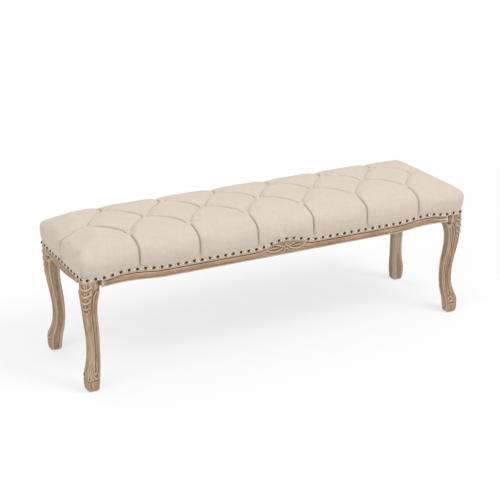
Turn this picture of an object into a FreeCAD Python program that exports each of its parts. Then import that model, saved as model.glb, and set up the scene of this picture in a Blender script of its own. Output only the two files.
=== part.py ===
import FreeCAD, Part
import Sketcher
import math
import os
import re

# A tufted bench: four cabriole legs, a moulded apron frame and a button-tufted seat.
# X runs along the bench, the front faces -Y, and the origin is on the floor under the middle.

Vector = FreeCAD.Vector
doc = FreeCAD.newDocument("TuftedBench")
sheet = doc.addObject("Spreadsheet::Sheet", "Sizes")

# Driving sizes in millimetres, or counts where the name says so
SIZES = {
    # frame
    "frameLength": 1354,
    "frameDepth": 376,
    "frameTop": 400,
    "frameCorner": 12,
    "railThickness": 24,
    "railBottom": 333,
    "railRise": 8,
    "longRailFlat": 400,
    "longRailPeak": 545,
    "endRailFlat": 12,
    # line where the fabric ends and the show wood starts
    "shoulderHeight": 361.5,
    "shoulderFlat": 400,
    "shoulderPeak": 535,
    "shoulderRise": 9,
    "humpHalf": 110,
    "humpRise": 18.5,
    "rebateDepth": 3.5,
    # moulding run along the rails' lower edge
    "beadHeight": 4,
    "quirkDepth": 1.6,
    "quirkWidth": 0.8,
    "bandHeight": 15,
    "bandCrown": 2.2,
    "coveHeight": 3.5,
    "coveDepth": 2.6,
    "faceClear": 0.3,
    # joints of the frame
    "postWidth": 60,
    "tenonLength": 20,
    "tenonThickness": 10,
    "tenonInset": 8,
    "tenonBottom": 346,
    "tenonTop": 390,
    "jointGap": 0.2,
    "blockNear": 74,
    "blockFar": 116,
    "blockBottom": 345,
    "blockHeight": 40,
    "braceWidth": 24,
    "braceFromTuft": 51,
    "housingDepth": 6,
    # leg hardware
    "boltRadius": 4,
    "boltLength": 78,
    "boltDepth": 34,
    "boltGap": 0.15,
    "washerRadius": 9,
    "washerThickness": 1.6,
    "nutWidth": 13,
    "nutHeight": 6.5,
    "screwRadius": 2,
    "screwHeadRadius": 4,
    "screwHeadHeight": 2.8,
    "screwGap": 0.15,
    "blockScrewLength": 24,
    "blockScrewPlace": 96,
    "blockScrewSeat": 10,
    "deckScrewLength": 32,
    "deckScrewEdge": 13.5,
    "deckScrewPitch": 342,
    "endScrewPlace": 64,
    # feet
    "glideThickness": 2,
    "glideRadius": 9,
    "legArris": 9,
    "legCorner": 4.5,
    "fluteWidth": 10,
    # seat
    "deckThickness": 12,
    "foamThickness": 40,
    "foamInset": 22,
    "foamCorner": 22,
    "softGap": 0.3,
    "hemInset": 1.5,
    "tuftInset": 83,
    "tuftsPerSide": 6,
    "tuftFloor": 456,
    "tuftHalf": 46,
    "creaseHeight": 473,
    "creaseHalf": 56,
    "buttonRadius": 10,
    "buttonRim": 2,
    "buttonDome": 5,
    "buttonGap": 1.5,
    "twineRadius": 1,
    "twineGap": 0.3,
    "twineWasherRadius": 13,
    "twineWasherThickness": 1.5,
    "knotRadius": 2.6,
    "knotLength": 3,
    "dustThickness": 1,
    # trim
    "gimpWidth": 12,
    "gimpThickness": 2.5,
    "nailRadius": 4.8,
    "nailHeight": 2.8,
    "nailsLong": 51,
    "nailsEnd": 14,
    "nailSides": 6,
}

# Stations up the leg: height above the floor, inset of the two outward faces from the
# frame's faces, width of the square section, and depth of the flute in each outward face
LEG_STATIONS = {
    "sole": (2, 4.5, 33, 0.1),
    "toe": (14, 1, 39.5, 0.1),
    "scroll": (52, 2.2, 41.5, 0.1),
    "heel": (78, 10, 38.3, 0.3),
    "shin": (108, 16, 35.3, 1.6),
    "ankle": (140, 17.6, 34.6, 1.9),
    "thigh": (222, 9.3, 37.8, 2),
    "knee": (262, 4.6, 39.8, 1.8),
    "flare": (298, 1.6, 45.5, 1.2),
    "spread": (318, 0.4, 52, 0.6),
}
STATION_SIZES = ("Height", "Inset", "Width", "Flute")

# Stations up the side of the seat above its hem: height, how far the fabric stands out past
# the frame's faces (negative is inward), and the radius of the seat's corner in plan
SEAT_STATIONS = {
    "side": (402, 4, 18),
    "bulge": (426, 3.2, 25),
    "turn": (447, -3, 30),
    "lip": (465, -14.5, 33),
    "brow": (479, -40, 37),
    "crown": (488, -120, 42),
}
SEAT_SIZES = ("Height", "Out", "Corner")

# Stations along a pleat from its button over the seat's edge to the hem: inset from the frame's
# face, height of the sewn line, tilt of the fabric there, and half width and depth of the fold
PLEAT_STATIONS = {
    "pleatTop": (56, 472, 8, 46, 12),
    "pleatBrow": (26, 463, 40, 42, 9.5),
    "pleatTurn": (7.5, 443.5, 68, 38, 7.5),
    "pleatSide": (0.7, 415, 90, 34, 5.5),
    "pleatHem": (2, 374, 90, 22, 2),
}
PLEAT_SIZES = ("Inset", "Height", "Tilt", "Half", "Depth")

STATIONS = (
    (LEG_STATIONS, STATION_SIZES),
    (SEAT_STATIONS, SEAT_SIZES),
    (PLEAT_STATIONS, PLEAT_SIZES),
)
for stations, size_names in STATIONS:
    for station, values in stations.items():
        for size, value in zip(size_names, values):
            SIZES[station + size] = value
for row, (name, value) in enumerate(SIZES.items(), start=1):
    sheet.set(f"A{row}", name)
    sheet.set(f"B{row}", str(value))
    sheet.setAlias(f"B{row}", name)
doc.recompute()


def linked(text):
    """An expression in the sheet's names, as other objects of the document write it."""
    words = re.split(r"([A-Za-z]\w*)", text)
    return "".join("Sizes." + word if word in SIZES else word for word in words)


def number(text):
    """The value of such an expression now."""
    return float(sheet.evalExpression(linked(text)))


def both_sides(right, joined=None):
    """The right half of an outline with its mirror image before it, walked left to right.
    A point's radius belongs to the run after it, and joined is the radius of the run across the middle."""
    radii = [point[2] if len(point) > 2 else None for point in right]
    before = reversed([joined] + radii[:-1])
    left = [(f"-({x})", y, radius) for (x, y, *_), radius in zip(reversed(right), before)]
    return [tuple(value for value in point if value is not None) for point in left] + right


# Sketches: each point is (x, y) or (x, y, radius of the arc that follows, positive when it turns left)
def run_between(start, end, radius):
    """Geometry of one run, and which of its ends is the start."""
    if radius is None:
        return Part.LineSegment(start, end), 1, 2
    chord = end - start
    bulge = math.sqrt(max(radius * radius - chord.Length ** 2 / 4, 0))
    left = Vector(-chord.y, chord.x, 0).normalize()
    centre = (start + end) * 0.5 + left * (bulge if radius > 0 else -bulge)
    first, last = (start, end) if radius > 0 else (end, start)
    begin = math.atan2(first.y - centre.y, first.x - centre.x)
    finish = math.atan2(last.y - centre.y, last.x - centre.x)
    arc = Part.ArcOfCircle(Part.Circle(centre, Vector(0, 0, 1), abs(radius)), begin, finish)
    return (arc, 1, 2) if radius > 0 else (arc, 2, 1)


def draw(sketch, points, closed=True):
    """Draws the runs and ties every corner and radius to the sheet."""
    base = sketch.GeometryCount
    corners = [Vector(number(x), number(y), 0) for x, y, *_ in points]
    count = len(points) if closed else len(points) - 1
    runs, ties, texts = [], [], []
    for n in range(count):
        rest = points[n][2:]
        radius = number(rest[0]) if rest else None
        runs.append(run_between(corners[n], corners[(n + 1) % len(points)], radius))
    sketch.addGeometry([run[0] for run in runs], False)
    for n, (x, y, *rest) in enumerate(points):
        at_end = n == count
        edge = base + (n - 1 if at_end else n)
        end = runs[n - 1][2] if at_end else runs[n][1]
        ties.append(Sketcher.Constraint("DistanceX", -1, 1, edge, end, corners[n].x))
        texts.append(x)
        ties.append(Sketcher.Constraint("DistanceY", -1, 1, edge, end, corners[n].y))
        texts.append(y)
        if rest and not at_end:
            ties.append(Sketcher.Constraint("Radius", edge, runs[n][0].Radius))
            texts.append(rest[0] if number(rest[0]) > 0 else f"-({rest[0]})")
    for n in range(count if closed else count - 1):
        after = (n + 1) % count
        ties.append(Sketcher.Constraint("Coincident", base + n, runs[n][2], base + after, runs[after][1]))
        texts.append(None)
    first = sketch.ConstraintCount
    sketch.addConstraint(ties)
    for n, text in enumerate(texts):
        if text is not None:
            sketch.setExpression(f"Constraints[{first + n}]", linked(text))


def draw_bores(sketch, bores):
    """Small bores as hexagons, given as (x, y, half the width across flats)."""
    for x, y, radius in bores:
        side = f"({radius}) / sqrt(3)"
        ring = [(1, 1), (2, 0), (1, -1), (-1, -1), (-2, 0), (-1, 1)]
        draw(sketch, [(f"{x} + {sx} * {side}", f"{y} + {sy} * ({radius})") for sx, sy in reversed(ring)])


def new_body(name):
    body = doc.addObject("PartDesign::Body", name)
    body.Label = name
    return body


def new_sketch(body, name, role, lift=None):
    """A sketch on one of the body's own planes, lifted along that plane's normal."""
    sketch = body.newObject("Sketcher::SketchObject", f"{body.Name}_{name}")
    plane = [feature for feature in body.Origin.OriginFeatures if feature.Role == role][0]
    sketch.AttachmentSupport = [(plane, "")]
    sketch.MapMode = "FlatFace"
    if lift is not None:
        sketch.setExpression("AttachmentOffset.Base.z", linked(lift))
    return sketch


def outline(body, name, role, points, lift=None):
    sketch = new_sketch(body, name, role, lift)
    draw(sketch, points)
    return sketch


def feature(body, kind, name, profile, length=None, reverse=False):
    made = body.newObject(f"PartDesign::{kind}", f"{body.Name}_{name}")
    made.Profile = profile
    if length is not None:
        made.setExpression("Length", linked(length))
    made.Reversed = reverse
    return made


def place(item, x="0", y="0", z="0", angle=0):
    """Puts a finished sub-part where it belongs, turned about the vertical."""
    item.Placement = FreeCAD.Placement(Vector(), FreeCAD.Rotation(Vector(0, 0, 1), angle))
    for axis, text in zip("xyz", (x, y, z)):
        item.setExpression(f"Placement.Base.{axis}", linked(text))
    return item


def mirror_of(source, name, normal):
    """The opposite-hand copy of a sub-part."""
    made = doc.addObject("Part::Mirroring", name)
    made.Label = name
    made.Source = source
    made.Normal = normal
    return made


def shape_part(name, shape):
    """A sub-part whose shape is made with the shape functions."""
    made = doc.addObject("Part::Feature", name)
    made.Label = name
    made.Shape = shape
    made.Placement = FreeCAD.Placement()
    return made


ACROSS_X = Vector(1, 0, 0)
ACROSS_Y = Vector(0, 1, 0)


def rectangle(x0, y0, x1, y1):
    return [(x0, y0), (x1, y0), (x1, y1), (x0, y1)]


def rounded_rectangle(half_x, half_y, corner):
    """Corners of a rectangle about the origin, with round corners, as a closed outline."""
    return [
        (f"-({half_x}) + {corner}", f"-({half_y})"),
        (f"{half_x} - {corner}", f"-({half_y})", corner),
        (half_x, f"-({half_y}) + {corner}"),
        (half_x, f"{half_y} - {corner}", corner),
        (f"{half_x} - {corner}", half_y),
        (f"-({half_x}) + {corner}", half_y, corner),
        (f"-({half_x})", f"{half_y} - {corner}"),
        (f"-({half_x})", f"-({half_y}) + {corner}", corner),
    ]


# Curves of the apron, each the right half walked outward from the middle
def ogee(start, end, low, rise):
    """Two equal arcs that lift a level line to another level, or let it down where the rise is negative."""
    radius = f"(({end} - ({start}))^2 + ({rise})^2) / (4 * ({rise}))"
    return [(start, low, radius), (f"({start} + {end}) / 2", f"{low} + ({rise}) / 2", f"-({radius})")]


def lower_edge(flat, peak, half, lift="0"):
    """A rail's lower edge: level, up an ogee to its peak, and on over the peak to the rail's end."""
    radius = f"(({peak} - {flat})^2 + railRise^2) / (4 * railRise)"
    drop = f"({radius}) - sqrt(({radius})^2 - ({half} - ({peak}))^2)"
    level = f"railBottom + {lift}"
    return ogee(flat, peak, level, "railRise") + [(half, f"{level} + railRise - ({drop})")]


def shoulder_line(half, lift="0"):
    """Where the fabric meets a long rail's show wood: off the hump, level, over a low crest, level again."""
    low = f"shoulderHeight + {lift}"
    post = "frameLength / 2 - postWidth"
    hump = "(humpHalf^2 + humpRise^2) / (4 * humpRise)"
    line = [("humpHalf / 2", f"{low} + humpRise / 2", hump), ("humpHalf", low)]
    line += ogee("shoulderFlat", "shoulderPeak", low, "shoulderRise")
    line += ogee("shoulderPeak", post, f"{low} + shoulderRise", "-shoulderRise")
    line += [(post, low), (half, low)]
    return both_sides(line, f"-({hump})")


def above_shoulder(half, top, lift="0"):
    """Everything above that line, as a closed outline in elevation."""
    return shoulder_line(half, lift) + [(half, top), (f"-({half})", top)]


# Leg: a lofted cabriole under a square post, drawn from the frame's outer corner
def leg_section(inset, width, flute, outer, inner):
    """A square section: outer arris eased in flats, a vein down each outward face, inner corners cut off."""
    near, far, middle = inset, f"({inset} + {width})", f"({inset} + {width} / 2)"
    half = "fluteWidth / 2"
    soft, hard = f"{near} + {outer} * (1 - cos(30))", f"{near} + {outer} * (1 - sin(30))"
    return [
        (f"{near} + {outer}", near),
        (f"{middle} - {half}", near),
        (middle, f"{near} + {flute}"),
        (f"{middle} + {half}", near),
        (f"{far} - {inner}", near),
        (far, f"{near} + {inner}"),
        (far, f"{far} - {inner}"),
        (f"{far} - {inner}", far),
        (f"{near} + {inner}", far),
        (near, f"{far} - {inner}"),
        (near, f"{middle} + {half}"),
        (f"{near} + {flute}", middle),
        (near, f"{middle} - {half}"),
        (near, f"{near} + {outer}"),
        (soft, hard),
        (hard, soft),
    ]


def make_leg(name):
    leg = new_body(name)
    sections = []
    for station in LEG_STATIONS:
        inset, width, flute = (station + size for size in STATION_SIZES[1:])
        section = leg_section(inset, width, flute, "legArris", "legCorner")
        sections.append(outline(leg, station, "XY_Plane", section, station + "Height"))
    neck = leg_section("0", "postWidth", "0.1", "frameCorner", "0.5")
    sections.append(outline(leg, "neck", "XY_Plane", neck, "railBottom"))
    shaft = feature(leg, "AdditiveLoft", "shaft", sections[0])
    shaft.Sections = sections[1:]
    shaft.Ruled = True
    chamfer = "(2 * postWidth - blockNear - railThickness)"
    post = [
        ("frameCorner", "0"),
        ("postWidth", "0"),
        ("postWidth", f"postWidth - {chamfer}"),
        (f"postWidth - {chamfer}", "postWidth"),
        ("0", "postWidth"),
        ("0", "frameCorner", "frameCorner"),
    ]
    top = outline(leg, "post_plan", "XY_Plane", post, "railBottom")
    feature(leg, "Pad", "post", top, "frameTop - railBottom")
    # The outward faces step back above the shoulder, where the fabric is tacked
    inner = "(frameCorner - rebateDepth)"
    step = [
        ("-1", "-1"),
        ("postWidth + 1", "-1"),
        ("postWidth + 1", "rebateDepth"),
        (f"rebateDepth + {inner}", "rebateDepth", f"-{inner}"),
        ("rebateDepth", f"rebateDepth + {inner}"),
        ("rebateDepth", "postWidth + 1"),
        ("-1", "postWidth + 1"),
    ]
    rebate = outline(leg, "rebate_plan", "XY_Plane", step, "frameTop")
    feature(leg, "Pocket", "rebate", rebate, "frameTop - shoulderHeight")
    # Mortises for the two rails' tenons
    near, far = "tenonInset - jointGap", "tenonInset + tenonThickness + jointGap"
    low, high = "tenonBottom - jointGap", "tenonTop + jointGap"
    long_slot = outline(leg, "long_mortise_plan", "YZ_Plane", rectangle(near, low, far, high), "postWidth")
    feature(leg, "Pocket", "long_mortise", long_slot, "tenonLength + jointGap")
    end_slot = outline(leg, "end_mortise_plan", "XZ_Plane", rectangle(near, low, far, high), "-postWidth")
    feature(leg, "Pocket", "end_mortise", end_slot, "tenonLength + jointGap", reverse=True)
    # Blind six-sided hole for the hanger bolt, square to the chamfered inner corner
    hole = leg.newObject("PartDesign::SubtractivePrism", f"{name}_bolt_hole")
    hole.setExpression("Circumradius", linked("(boltRadius + boltGap) * 2 / sqrt(3)"))
    hole.setExpression("Height", linked("boltDepth + postWidth"))
    hole.Placement = FreeCAD.Placement(Vector(), ALONG_DIAGONAL)
    for axis in "xy":
        start = "(blockNear + railThickness) / 2 - (boltDepth + jointGap) / sqrt(2)"
        hole.setExpression(f"Placement.Base.{axis}", linked(start))
    hole.setExpression("Placement.Base.z", linked("blockBottom + blockHeight / 2"))
    return leg


ALONG_DIAGONAL = FreeCAD.Rotation(Vector(0, 0, 1), Vector(1, 1, 0))
leg = make_leg("leg_front_left")
place(leg, "-frameLength / 2", "-frameDepth / 2")
leg_front_right = mirror_of(leg, "leg_front_right", ACROSS_X)
leg_rear_left = mirror_of(leg, "leg_rear_left", ACROSS_Y)
leg_rear_right = mirror_of(leg_front_right, "leg_rear_right", ACROSS_Y)
parts = [leg, leg_front_right, leg_rear_left, leg_rear_right]


# Rails, each drawn as the front rail lies: the show face on the body's XZ plane, the wood behind it
def moulding():
    """What the moulding takes off the show face: past a bead, over a crowned band and into a fillet."""
    bead = "(railBottom + beadHeight)"
    band = f"({bead} + quirkWidth)"
    top = f"({band} + bandHeight)"
    proud = "-faceClear"
    return [
        ("quirkDepth", "railBottom - 1"),
        ("quirkDepth", "railBottom"),
        (proud, "railBottom + beadHeight / 3"),
        (proud, "railBottom + 2 * beadHeight / 3"),
        ("quirkDepth", bead),
        ("bandCrown", band),
        (proud, f"{band} + bandHeight / 3"),
        (proud, f"{band} + 2 * bandHeight / 3"),
        ("bandCrown", top),
        ("coveDepth", f"{top} + quirkWidth"),
        ("coveDepth", f"{top} + coveHeight"),
        ("-1", f"{top} + coveHeight"),
        ("-1", "railBottom - 1"),
    ]


def make_rail(name, half, edge, rebate, screws):
    """A rail of the given half length, with its lower edge, its rebate and its deck screws' places."""
    rail = new_body(name)
    board = both_sides(edge(half)) + [(half, "frameTop"), (f"-({half})", "frameTop")]
    face = outline(rail, "board_face", "XZ_Plane", board, "-railThickness")
    feature(rail, "Pad", "board", face, "railThickness")
    feature(rail, "Pocket", "rebate", outline(rail, "rebate_face", "XZ_Plane", rebate), "rebateDepth")
    profile = outline(rail, "moulding_section", "YZ_Plane", moulding())
    for side, sign in (("right", ""), ("left", "-")):
        run = [("0", "railBottom")] + edge(f"({half}) + 1")
        if sign:
            run = [(f"-({x})", y, *[f"-({r})" for r in rest]) for x, y, *rest in run]
        path = new_sketch(rail, f"{side}_run", "XZ_Plane")
        draw(path, run, closed=False)
        cut = feature(rail, "SubtractivePipe", f"{side}_moulding", profile)
        cut.Spine = (path, [])
    tenon_end = rectangle("tenonInset", "tenonBottom", "tenonInset + tenonThickness", "tenonTop")
    for side, lift in (("right", half), ("left", f"-({half}) - tenonLength")):
        end = outline(rail, f"{side}_tenon_end", "YZ_Plane", tenon_end, lift)
        feature(rail, "Pad", f"{side}_tenon", end, "tenonLength")
    # Pilot holes for the deck's screws in the top edge, and for the corner blocks' in the back
    tops = new_sketch(rail, "deck_pilots", "XY_Plane", "frameTop")
    draw_bores(tops, [(x, "deckScrewEdge", "screwRadius + screwGap") for x in screws])
    feature(rail, "Pocket", "deck_pilot_holes", tops, "deckScrewLength - deckThickness + screwHeadHeight + 1")
    backs = new_sketch(rail, "block_pilots", "XZ_Plane", "-railThickness")
    reach = f"{half} + postWidth - blockScrewPlace"
    middle = "blockBottom + blockHeight / 2"
    draw_bores(backs, [(x, middle, "screwRadius + screwGap") for x in (reach, f"-({reach})")])
    feature(rail, "Pocket", "block_pilot_holes", backs, "blockScrewLength - blockScrewSeat + 1", reverse=True)
    return rail


def row_of(count, pitch):
    """Evenly spaced places about the middle."""
    return [f"{pitch} * ({n} - ({count} - 1) / 2)" for n in range(count)]


LONG_HALF = "frameLength / 2 - postWidth"
END_HALF = "frameDepth / 2 - postWidth"
DECK_SCREWS = row_of(4, "deckScrewPitch")
END_SCREWS = ["endScrewPlace", "-endScrewPlace"]
# The outer tufts keep one inset from the frame's faces, and the braces stand clear of their washers
TUFT_PITCH = "((frameLength - 2 * tuftInset) / tuftsPerSide)"
TUFT_ROW = "(frameDepth / 2 - tuftInset)"
BRACE_PLACE = f"({TUFT_PITCH} * 3 / 2 - braceFromTuft)"
BRACES = {"cross_brace_left": f"-{BRACE_PLACE}", "cross_brace_right": BRACE_PLACE}


def long_edge(half):
    return lower_edge("longRailFlat", "longRailPeak", half)


def end_edge(half):
    return lower_edge("endRailFlat", END_HALF, half)


long_rebate = above_shoulder(f"{LONG_HALF} + 1", "frameTop + 1")
front = make_rail("rail_front", LONG_HALF, long_edge, long_rebate, DECK_SCREWS)
for brace, x in BRACES.items():
    side, top = "braceWidth / 2 + jointGap", "frameTop + 1"
    slot = rectangle(f"{x} - ({side})", "blockBottom - jointGap", f"{x} + {side}", top)
    housing = outline(front, f"{brace}_slot", "XZ_Plane", slot, "-railThickness")
    feature(front, "Pocket", f"{brace}_housing", housing, "housingDepth + jointGap", reverse=True)
place(front, y="-frameDepth / 2")
end_rebate = rectangle(f"-({END_HALF}) - 1", "shoulderHeight", f"{END_HALF} + 1", "frameTop + 1")
left = make_rail("rail_left", END_HALF, end_edge, end_rebate, END_SCREWS)
place(left, x="-frameLength / 2", angle=-90)
parts += [front, mirror_of(front, "rail_rear", ACROSS_Y), left, mirror_of(left, "rail_right", ACROSS_X)]


# Corner blocks, drawn like the legs from the frame's outer corner
def make_block(name):
    block = new_body(name)
    plan = [
        ("blockNear", "railThickness"),
        ("blockFar", "railThickness"),
        ("railThickness", "blockFar"),
        ("railThickness", "blockNear"),
    ]
    feature(block, "Pad", "wedge", outline(block, "plan", "XY_Plane", plan, "blockBottom"), "blockHeight")
    middle = "blockBottom + blockHeight / 2"
    holes = (
        ("shank", "screwRadius + screwGap", "railThickness"),
        ("head", "screwHeadRadius + screwGap", "railThickness + blockScrewSeat"),
    )
    for name_of_hole, radius, start in holes:
        walls = (("long", "XZ_Plane", f"-({start})", False), ("end", "YZ_Plane", start, True))
        for wall, role, lift, reverse in walls:
            face = new_sketch(block, f"{wall}_{name_of_hole}", role, lift)
            draw_bores(face, [("blockScrewPlace", middle, radius)])
            feature(block, "Pocket", f"{wall}_{name_of_hole}_hole", face, "blockFar", reverse)
    hole = block.newObject("PartDesign::SubtractivePrism", f"{name}_bolt_hole")
    hole.setExpression("Circumradius", linked("(boltRadius + boltGap) * 2 / sqrt(3)"))
    hole.setExpression("Height", linked("2 * blockFar"))
    hole.Placement = FreeCAD.Placement(Vector(), ALONG_DIAGONAL)
    hole.setExpression("Placement.Base.z", linked(middle))
    return block


block = make_block("corner_block_front_left")
place(block, "-frameLength / 2", "-frameDepth / 2")
block_front_right = mirror_of(block, "corner_block_front_right", ACROSS_X)
parts += [
    block,
    block_front_right,
    mirror_of(block, "corner_block_rear_left", ACROSS_Y),
    mirror_of(block_front_right, "corner_block_rear_right", ACROSS_Y),
]

# Cross braces housed in the long rails
for name, x in BRACES.items():
    brace = new_body(name)
    side, reach = "braceWidth / 2", "frameDepth / 2 - railThickness + housingDepth"
    plan = rectangle(f"-{side}", f"-({reach})", side, reach)
    base = outline(brace, "plan", "XY_Plane", plan, "blockBottom")
    feature(brace, "Pad", "bar", base, "frameTop - blockBottom")
    parts.append(place(brace, x=x))


# Seat: plywood deck, foam pad, and the places of the tufts
TUFT_ROWS = {
    "front": (number("tuftsPerSide"), f"-{TUFT_ROW}"),
    "middle": (number("tuftsPerSide") + 1, "0"),
    "rear": (number("tuftsPerSide"), TUFT_ROW),
}
TUFTS = {row: [(x, y) for x in row_of(round(count), TUFT_PITCH)] for row, (count, y) in TUFT_ROWS.items()}
ALL_TUFTS = [tuft for row in TUFTS.values() for tuft in row]
EDGE_SCREWS = [(x, f"{side}(frameDepth / 2 - deckScrewEdge)") for x in DECK_SCREWS for side in ("-", "")]
EDGE_SCREWS += [(f"{side}(frameLength / 2 - deckScrewEdge)", y) for y in END_SCREWS for side in ("-", "")]


DECK_TOP = "frameTop + deckThickness"
FOAM_TOP = f"{DECK_TOP} + foamThickness"


def board(name, half_x, half_y, corner, low, thickness):
    """A flat board with round corners."""
    body = new_body(name)
    plan = rounded_rectangle(half_x, half_y, corner)
    feature(body, "Pad", "board", outline(body, "plan", "XY_Plane", plan, low), thickness)
    return body


deck_corner = "(frameCorner - rebateDepth)"
deck_x, deck_y = "frameLength / 2 - rebateDepth", "frameDepth / 2 - rebateDepth"
deck_board = board("deck_board", deck_x, deck_y, deck_corner, "frameTop", "deckThickness")
foam_x, foam_y = "frameLength / 2 - foamInset", "frameDepth / 2 - foamInset"
foam_block = board("foam_block", foam_x, foam_y, "foamCorner", DECK_TOP, "foamThickness")
dust = new_body("dust_cover")
dust_x = "(frameLength / 2 - railThickness - softGap)"
dust_y = "(frameDepth / 2 - railThickness - softGap)"
cut_off = "(blockNear - railThickness)"
dust_plan = []
for sx, sy in (("-", "-"), ("", "-"), ("", ""), ("-", "")):
    on_long, on_end = (f"{sx}({dust_x} - {cut_off})", f"{sy}{dust_y}"), (f"{sx}{dust_x}", f"{sy}({dust_y} - {cut_off})")
    dust_plan += [on_long, on_end] if sx != sy else [on_end, on_long]
cloth = outline(dust, "plan", "XY_Plane", dust_plan, "blockBottom - dustThickness")
feature(dust, "Pad", "cloth", cloth, "dustThickness")
parts.append(dust)


# Small pieces and soft forms, worked out with the shape functions
def edges_of(points, closed=True):
    corners = [Vector(number(x), number(y), 0) for x, y, *_ in points]
    radii = [number(rest[0]) if rest else None for _, _, *rest in points]
    count = len(points) if closed else len(points) - 1
    runs = [run_between(corners[n], corners[(n + 1) % len(points)], radii[n])[0] for n in range(count)]
    return Part.Wire([run.toShape() for run in runs])


def slab(points, low, high):
    """An outline in plan, raised between two levels."""
    wire = edges_of(points)
    wire.translate(Vector(0, 0, number(low)))
    return Part.Face(wire).extrude(Vector(0, 0, number(high) - number(low)))


def elevation_slab(points, depth):
    """An outline in elevation, carried through the whole depth of the bench."""
    wire = edges_of(points)
    wire.rotate(Vector(), Vector(1, 0, 0), 90)
    wire.translate(Vector(0, number(depth), 0))
    return Part.Face(wire).extrude(Vector(0, -2 * number(depth), 0))


def faceted(rings, sides):
    """A solid of flat facets about the vertical, through rings of (radius, height); radius 0 is a point."""
    levels = []
    turns = [2 * math.pi * (n + 0.5) / sides for n in range(sides)]
    for radius, height in rings:
        across, level = number(radius), number(height)
        levels.append([Vector(across * math.cos(a), across * math.sin(a), level) for a in turns])
    faces = [levels[0], levels[-1]]
    for low, high in zip(levels, levels[1:]):
        faces += [[low[n - 1], low[n], high[n], high[n - 1]] for n in range(sides)]
    faces = [[p for n, p in enumerate(face) if not p.isEqual(face[n - 1], 1e-6)] for face in faces]
    faces = [face + face[:1] for face in faces if len(face) > 2]
    shell = Part.Shell([Part.Face(Part.makePolygon(face)) for face in faces])
    return Part.Solid(shell)


def stack(*stages, bore=None, sides=8):
    """Facets of a plain turned piece, given as (radius, low, high) upwards, with an optional bore."""
    shape = faceted([(stages[0][0], stages[0][1]), (stages[0][0], stages[0][2])], sides)
    for radius, low, high in stages[1:]:
        shape = shape.fuse(faceted([(radius, low), (radius, high)], sides))
    if bore is not None:
        flats = min(sides, 6)
        hole = f"({bore}) / cos(180 / {flats})"
        shape = shape.cut(faceted([(hole, stages[0][1]), (hole, stages[-1][2])], flats))
    return shape


def moved(shape, x, y, z, angle=0):
    copy = shape.copy()
    shift = FreeCAD.Placement(Vector(x, y, z), FreeCAD.Rotation(Vector(0, 0, 1), angle))
    copy.Placement = shift.multiply(copy.Placement)
    return copy


def at_places(shape, places):
    return Part.makeCompound([moved(shape, number(x), number(y), 0) for x, y in places])


def at_corners(shape):
    """A piece drawn from the front left corner, at all four corners."""
    first = moved(shape, -number("frameLength / 2"), -number("frameDepth / 2"), 0)
    second = first.mirror(Vector(), ACROSS_X)
    behind = [side.mirror(Vector(), ACROSS_Y) for side in (first, second)]
    return Part.makeCompound([first, second] + behind)


def screw(length):
    """A pan-head screw that stands on its point at zero."""
    shank = f"{length} - screwHeadHeight"
    return stack(("screwRadius", "0", shank), ("screwHeadRadius", shank, length), sides=6)


# The deck and the foam are bored at the tufts, and the deck for its countersunk screws
def bored(name, body, *bores):
    tool = shape_part(f"{name}_bores", Part.makeCompound(list(bores)))
    made = doc.addObject("Part::Cut", name)
    made.Label = name
    made.Base = body
    made.Tool = tool
    return made


def bore(radius, low, high, sides=6):
    """A bore of flat sides, measured across them."""
    across = f"({radius}) / cos(180 / {sides})"
    return faceted([(across, low), (across, high)], sides)


twine_bore = bore("twineRadius + twineGap", "frameTop - 1", f"{FOAM_TOP} + 1", 4)
screw_bore = bore("screwRadius + screwGap", "frameTop - 1", f"{DECK_TOP} + 1")
head_bore = bore("screwHeadRadius + screwGap", f"{DECK_TOP} - screwHeadHeight", f"{DECK_TOP} + 1")
screw_bore = screw_bore.fuse(head_bore)
deck = bored("seat_deck", deck_board, at_places(twine_bore, ALL_TUFTS), at_places(screw_bore, EDGE_SCREWS))
parts += [deck, bored("foam_pad", foam_block, at_places(twine_bore, ALL_TUFTS))]


# Hardware of the leg joints lies along the corner's diagonal, square to the block
def on_diagonal(shape, start):
    copy = shape.copy()
    reach = number(start) / math.sqrt(2)
    level = number("blockBottom + blockHeight / 2")
    copy.Placement = FreeCAD.Placement(Vector(reach, reach, level), ALONG_DIAGONAL)
    return copy


CHAMFER = "(blockNear + railThickness) / sqrt(2)"
BLOCK_FACE = "(blockFar + railThickness) / sqrt(2)"
bolt = faceted([("boltRadius - 1", "0"), ("boltRadius", "1"), ("boltRadius", "boltLength")], 8)
washer = stack(("washerRadius", "0", "washerThickness"), bore="boltRadius + boltGap")
nut = stack(("nutWidth / sqrt(3)", "0", "nutHeight"), bore="boltRadius + boltGap", sides=6)
parts += [
    shape_part("leg_bolts", at_corners(on_diagonal(bolt, f"{CHAMFER} - boltDepth"))),
    shape_part("leg_bolt_washers", at_corners(on_diagonal(washer, BLOCK_FACE))),
    shape_part("leg_bolt_nuts", at_corners(on_diagonal(nut, f"{BLOCK_FACE} + washerThickness"))),
]

# Screws: each corner block has one into the long rail and one into the end rail
block_screw = screw("blockScrewLength + screwHeadHeight")
tip = number("railThickness + blockScrewSeat - blockScrewLength")
into_long, into_end = block_screw.copy(), block_screw.copy()
reach, level = number("blockScrewPlace"), number("blockBottom + blockHeight / 2")
into_long.Placement = FreeCAD.Placement(Vector(reach, tip, level), FreeCAD.Rotation(ACROSS_X, -90))
into_end.Placement = FreeCAD.Placement(Vector(tip, reach, level), FreeCAD.Rotation(ACROSS_Y, 90))
parts.append(shape_part("block_screws", at_corners(Part.makeCompound([into_long, into_end]))))
deck_screw = screw("deckScrewLength")
deck_screw = moved(deck_screw, 0, 0, number(f"{DECK_TOP} - deckScrewLength"))
parts.append(shape_part("deck_screws", at_places(deck_screw, EDGE_SCREWS)))

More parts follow.
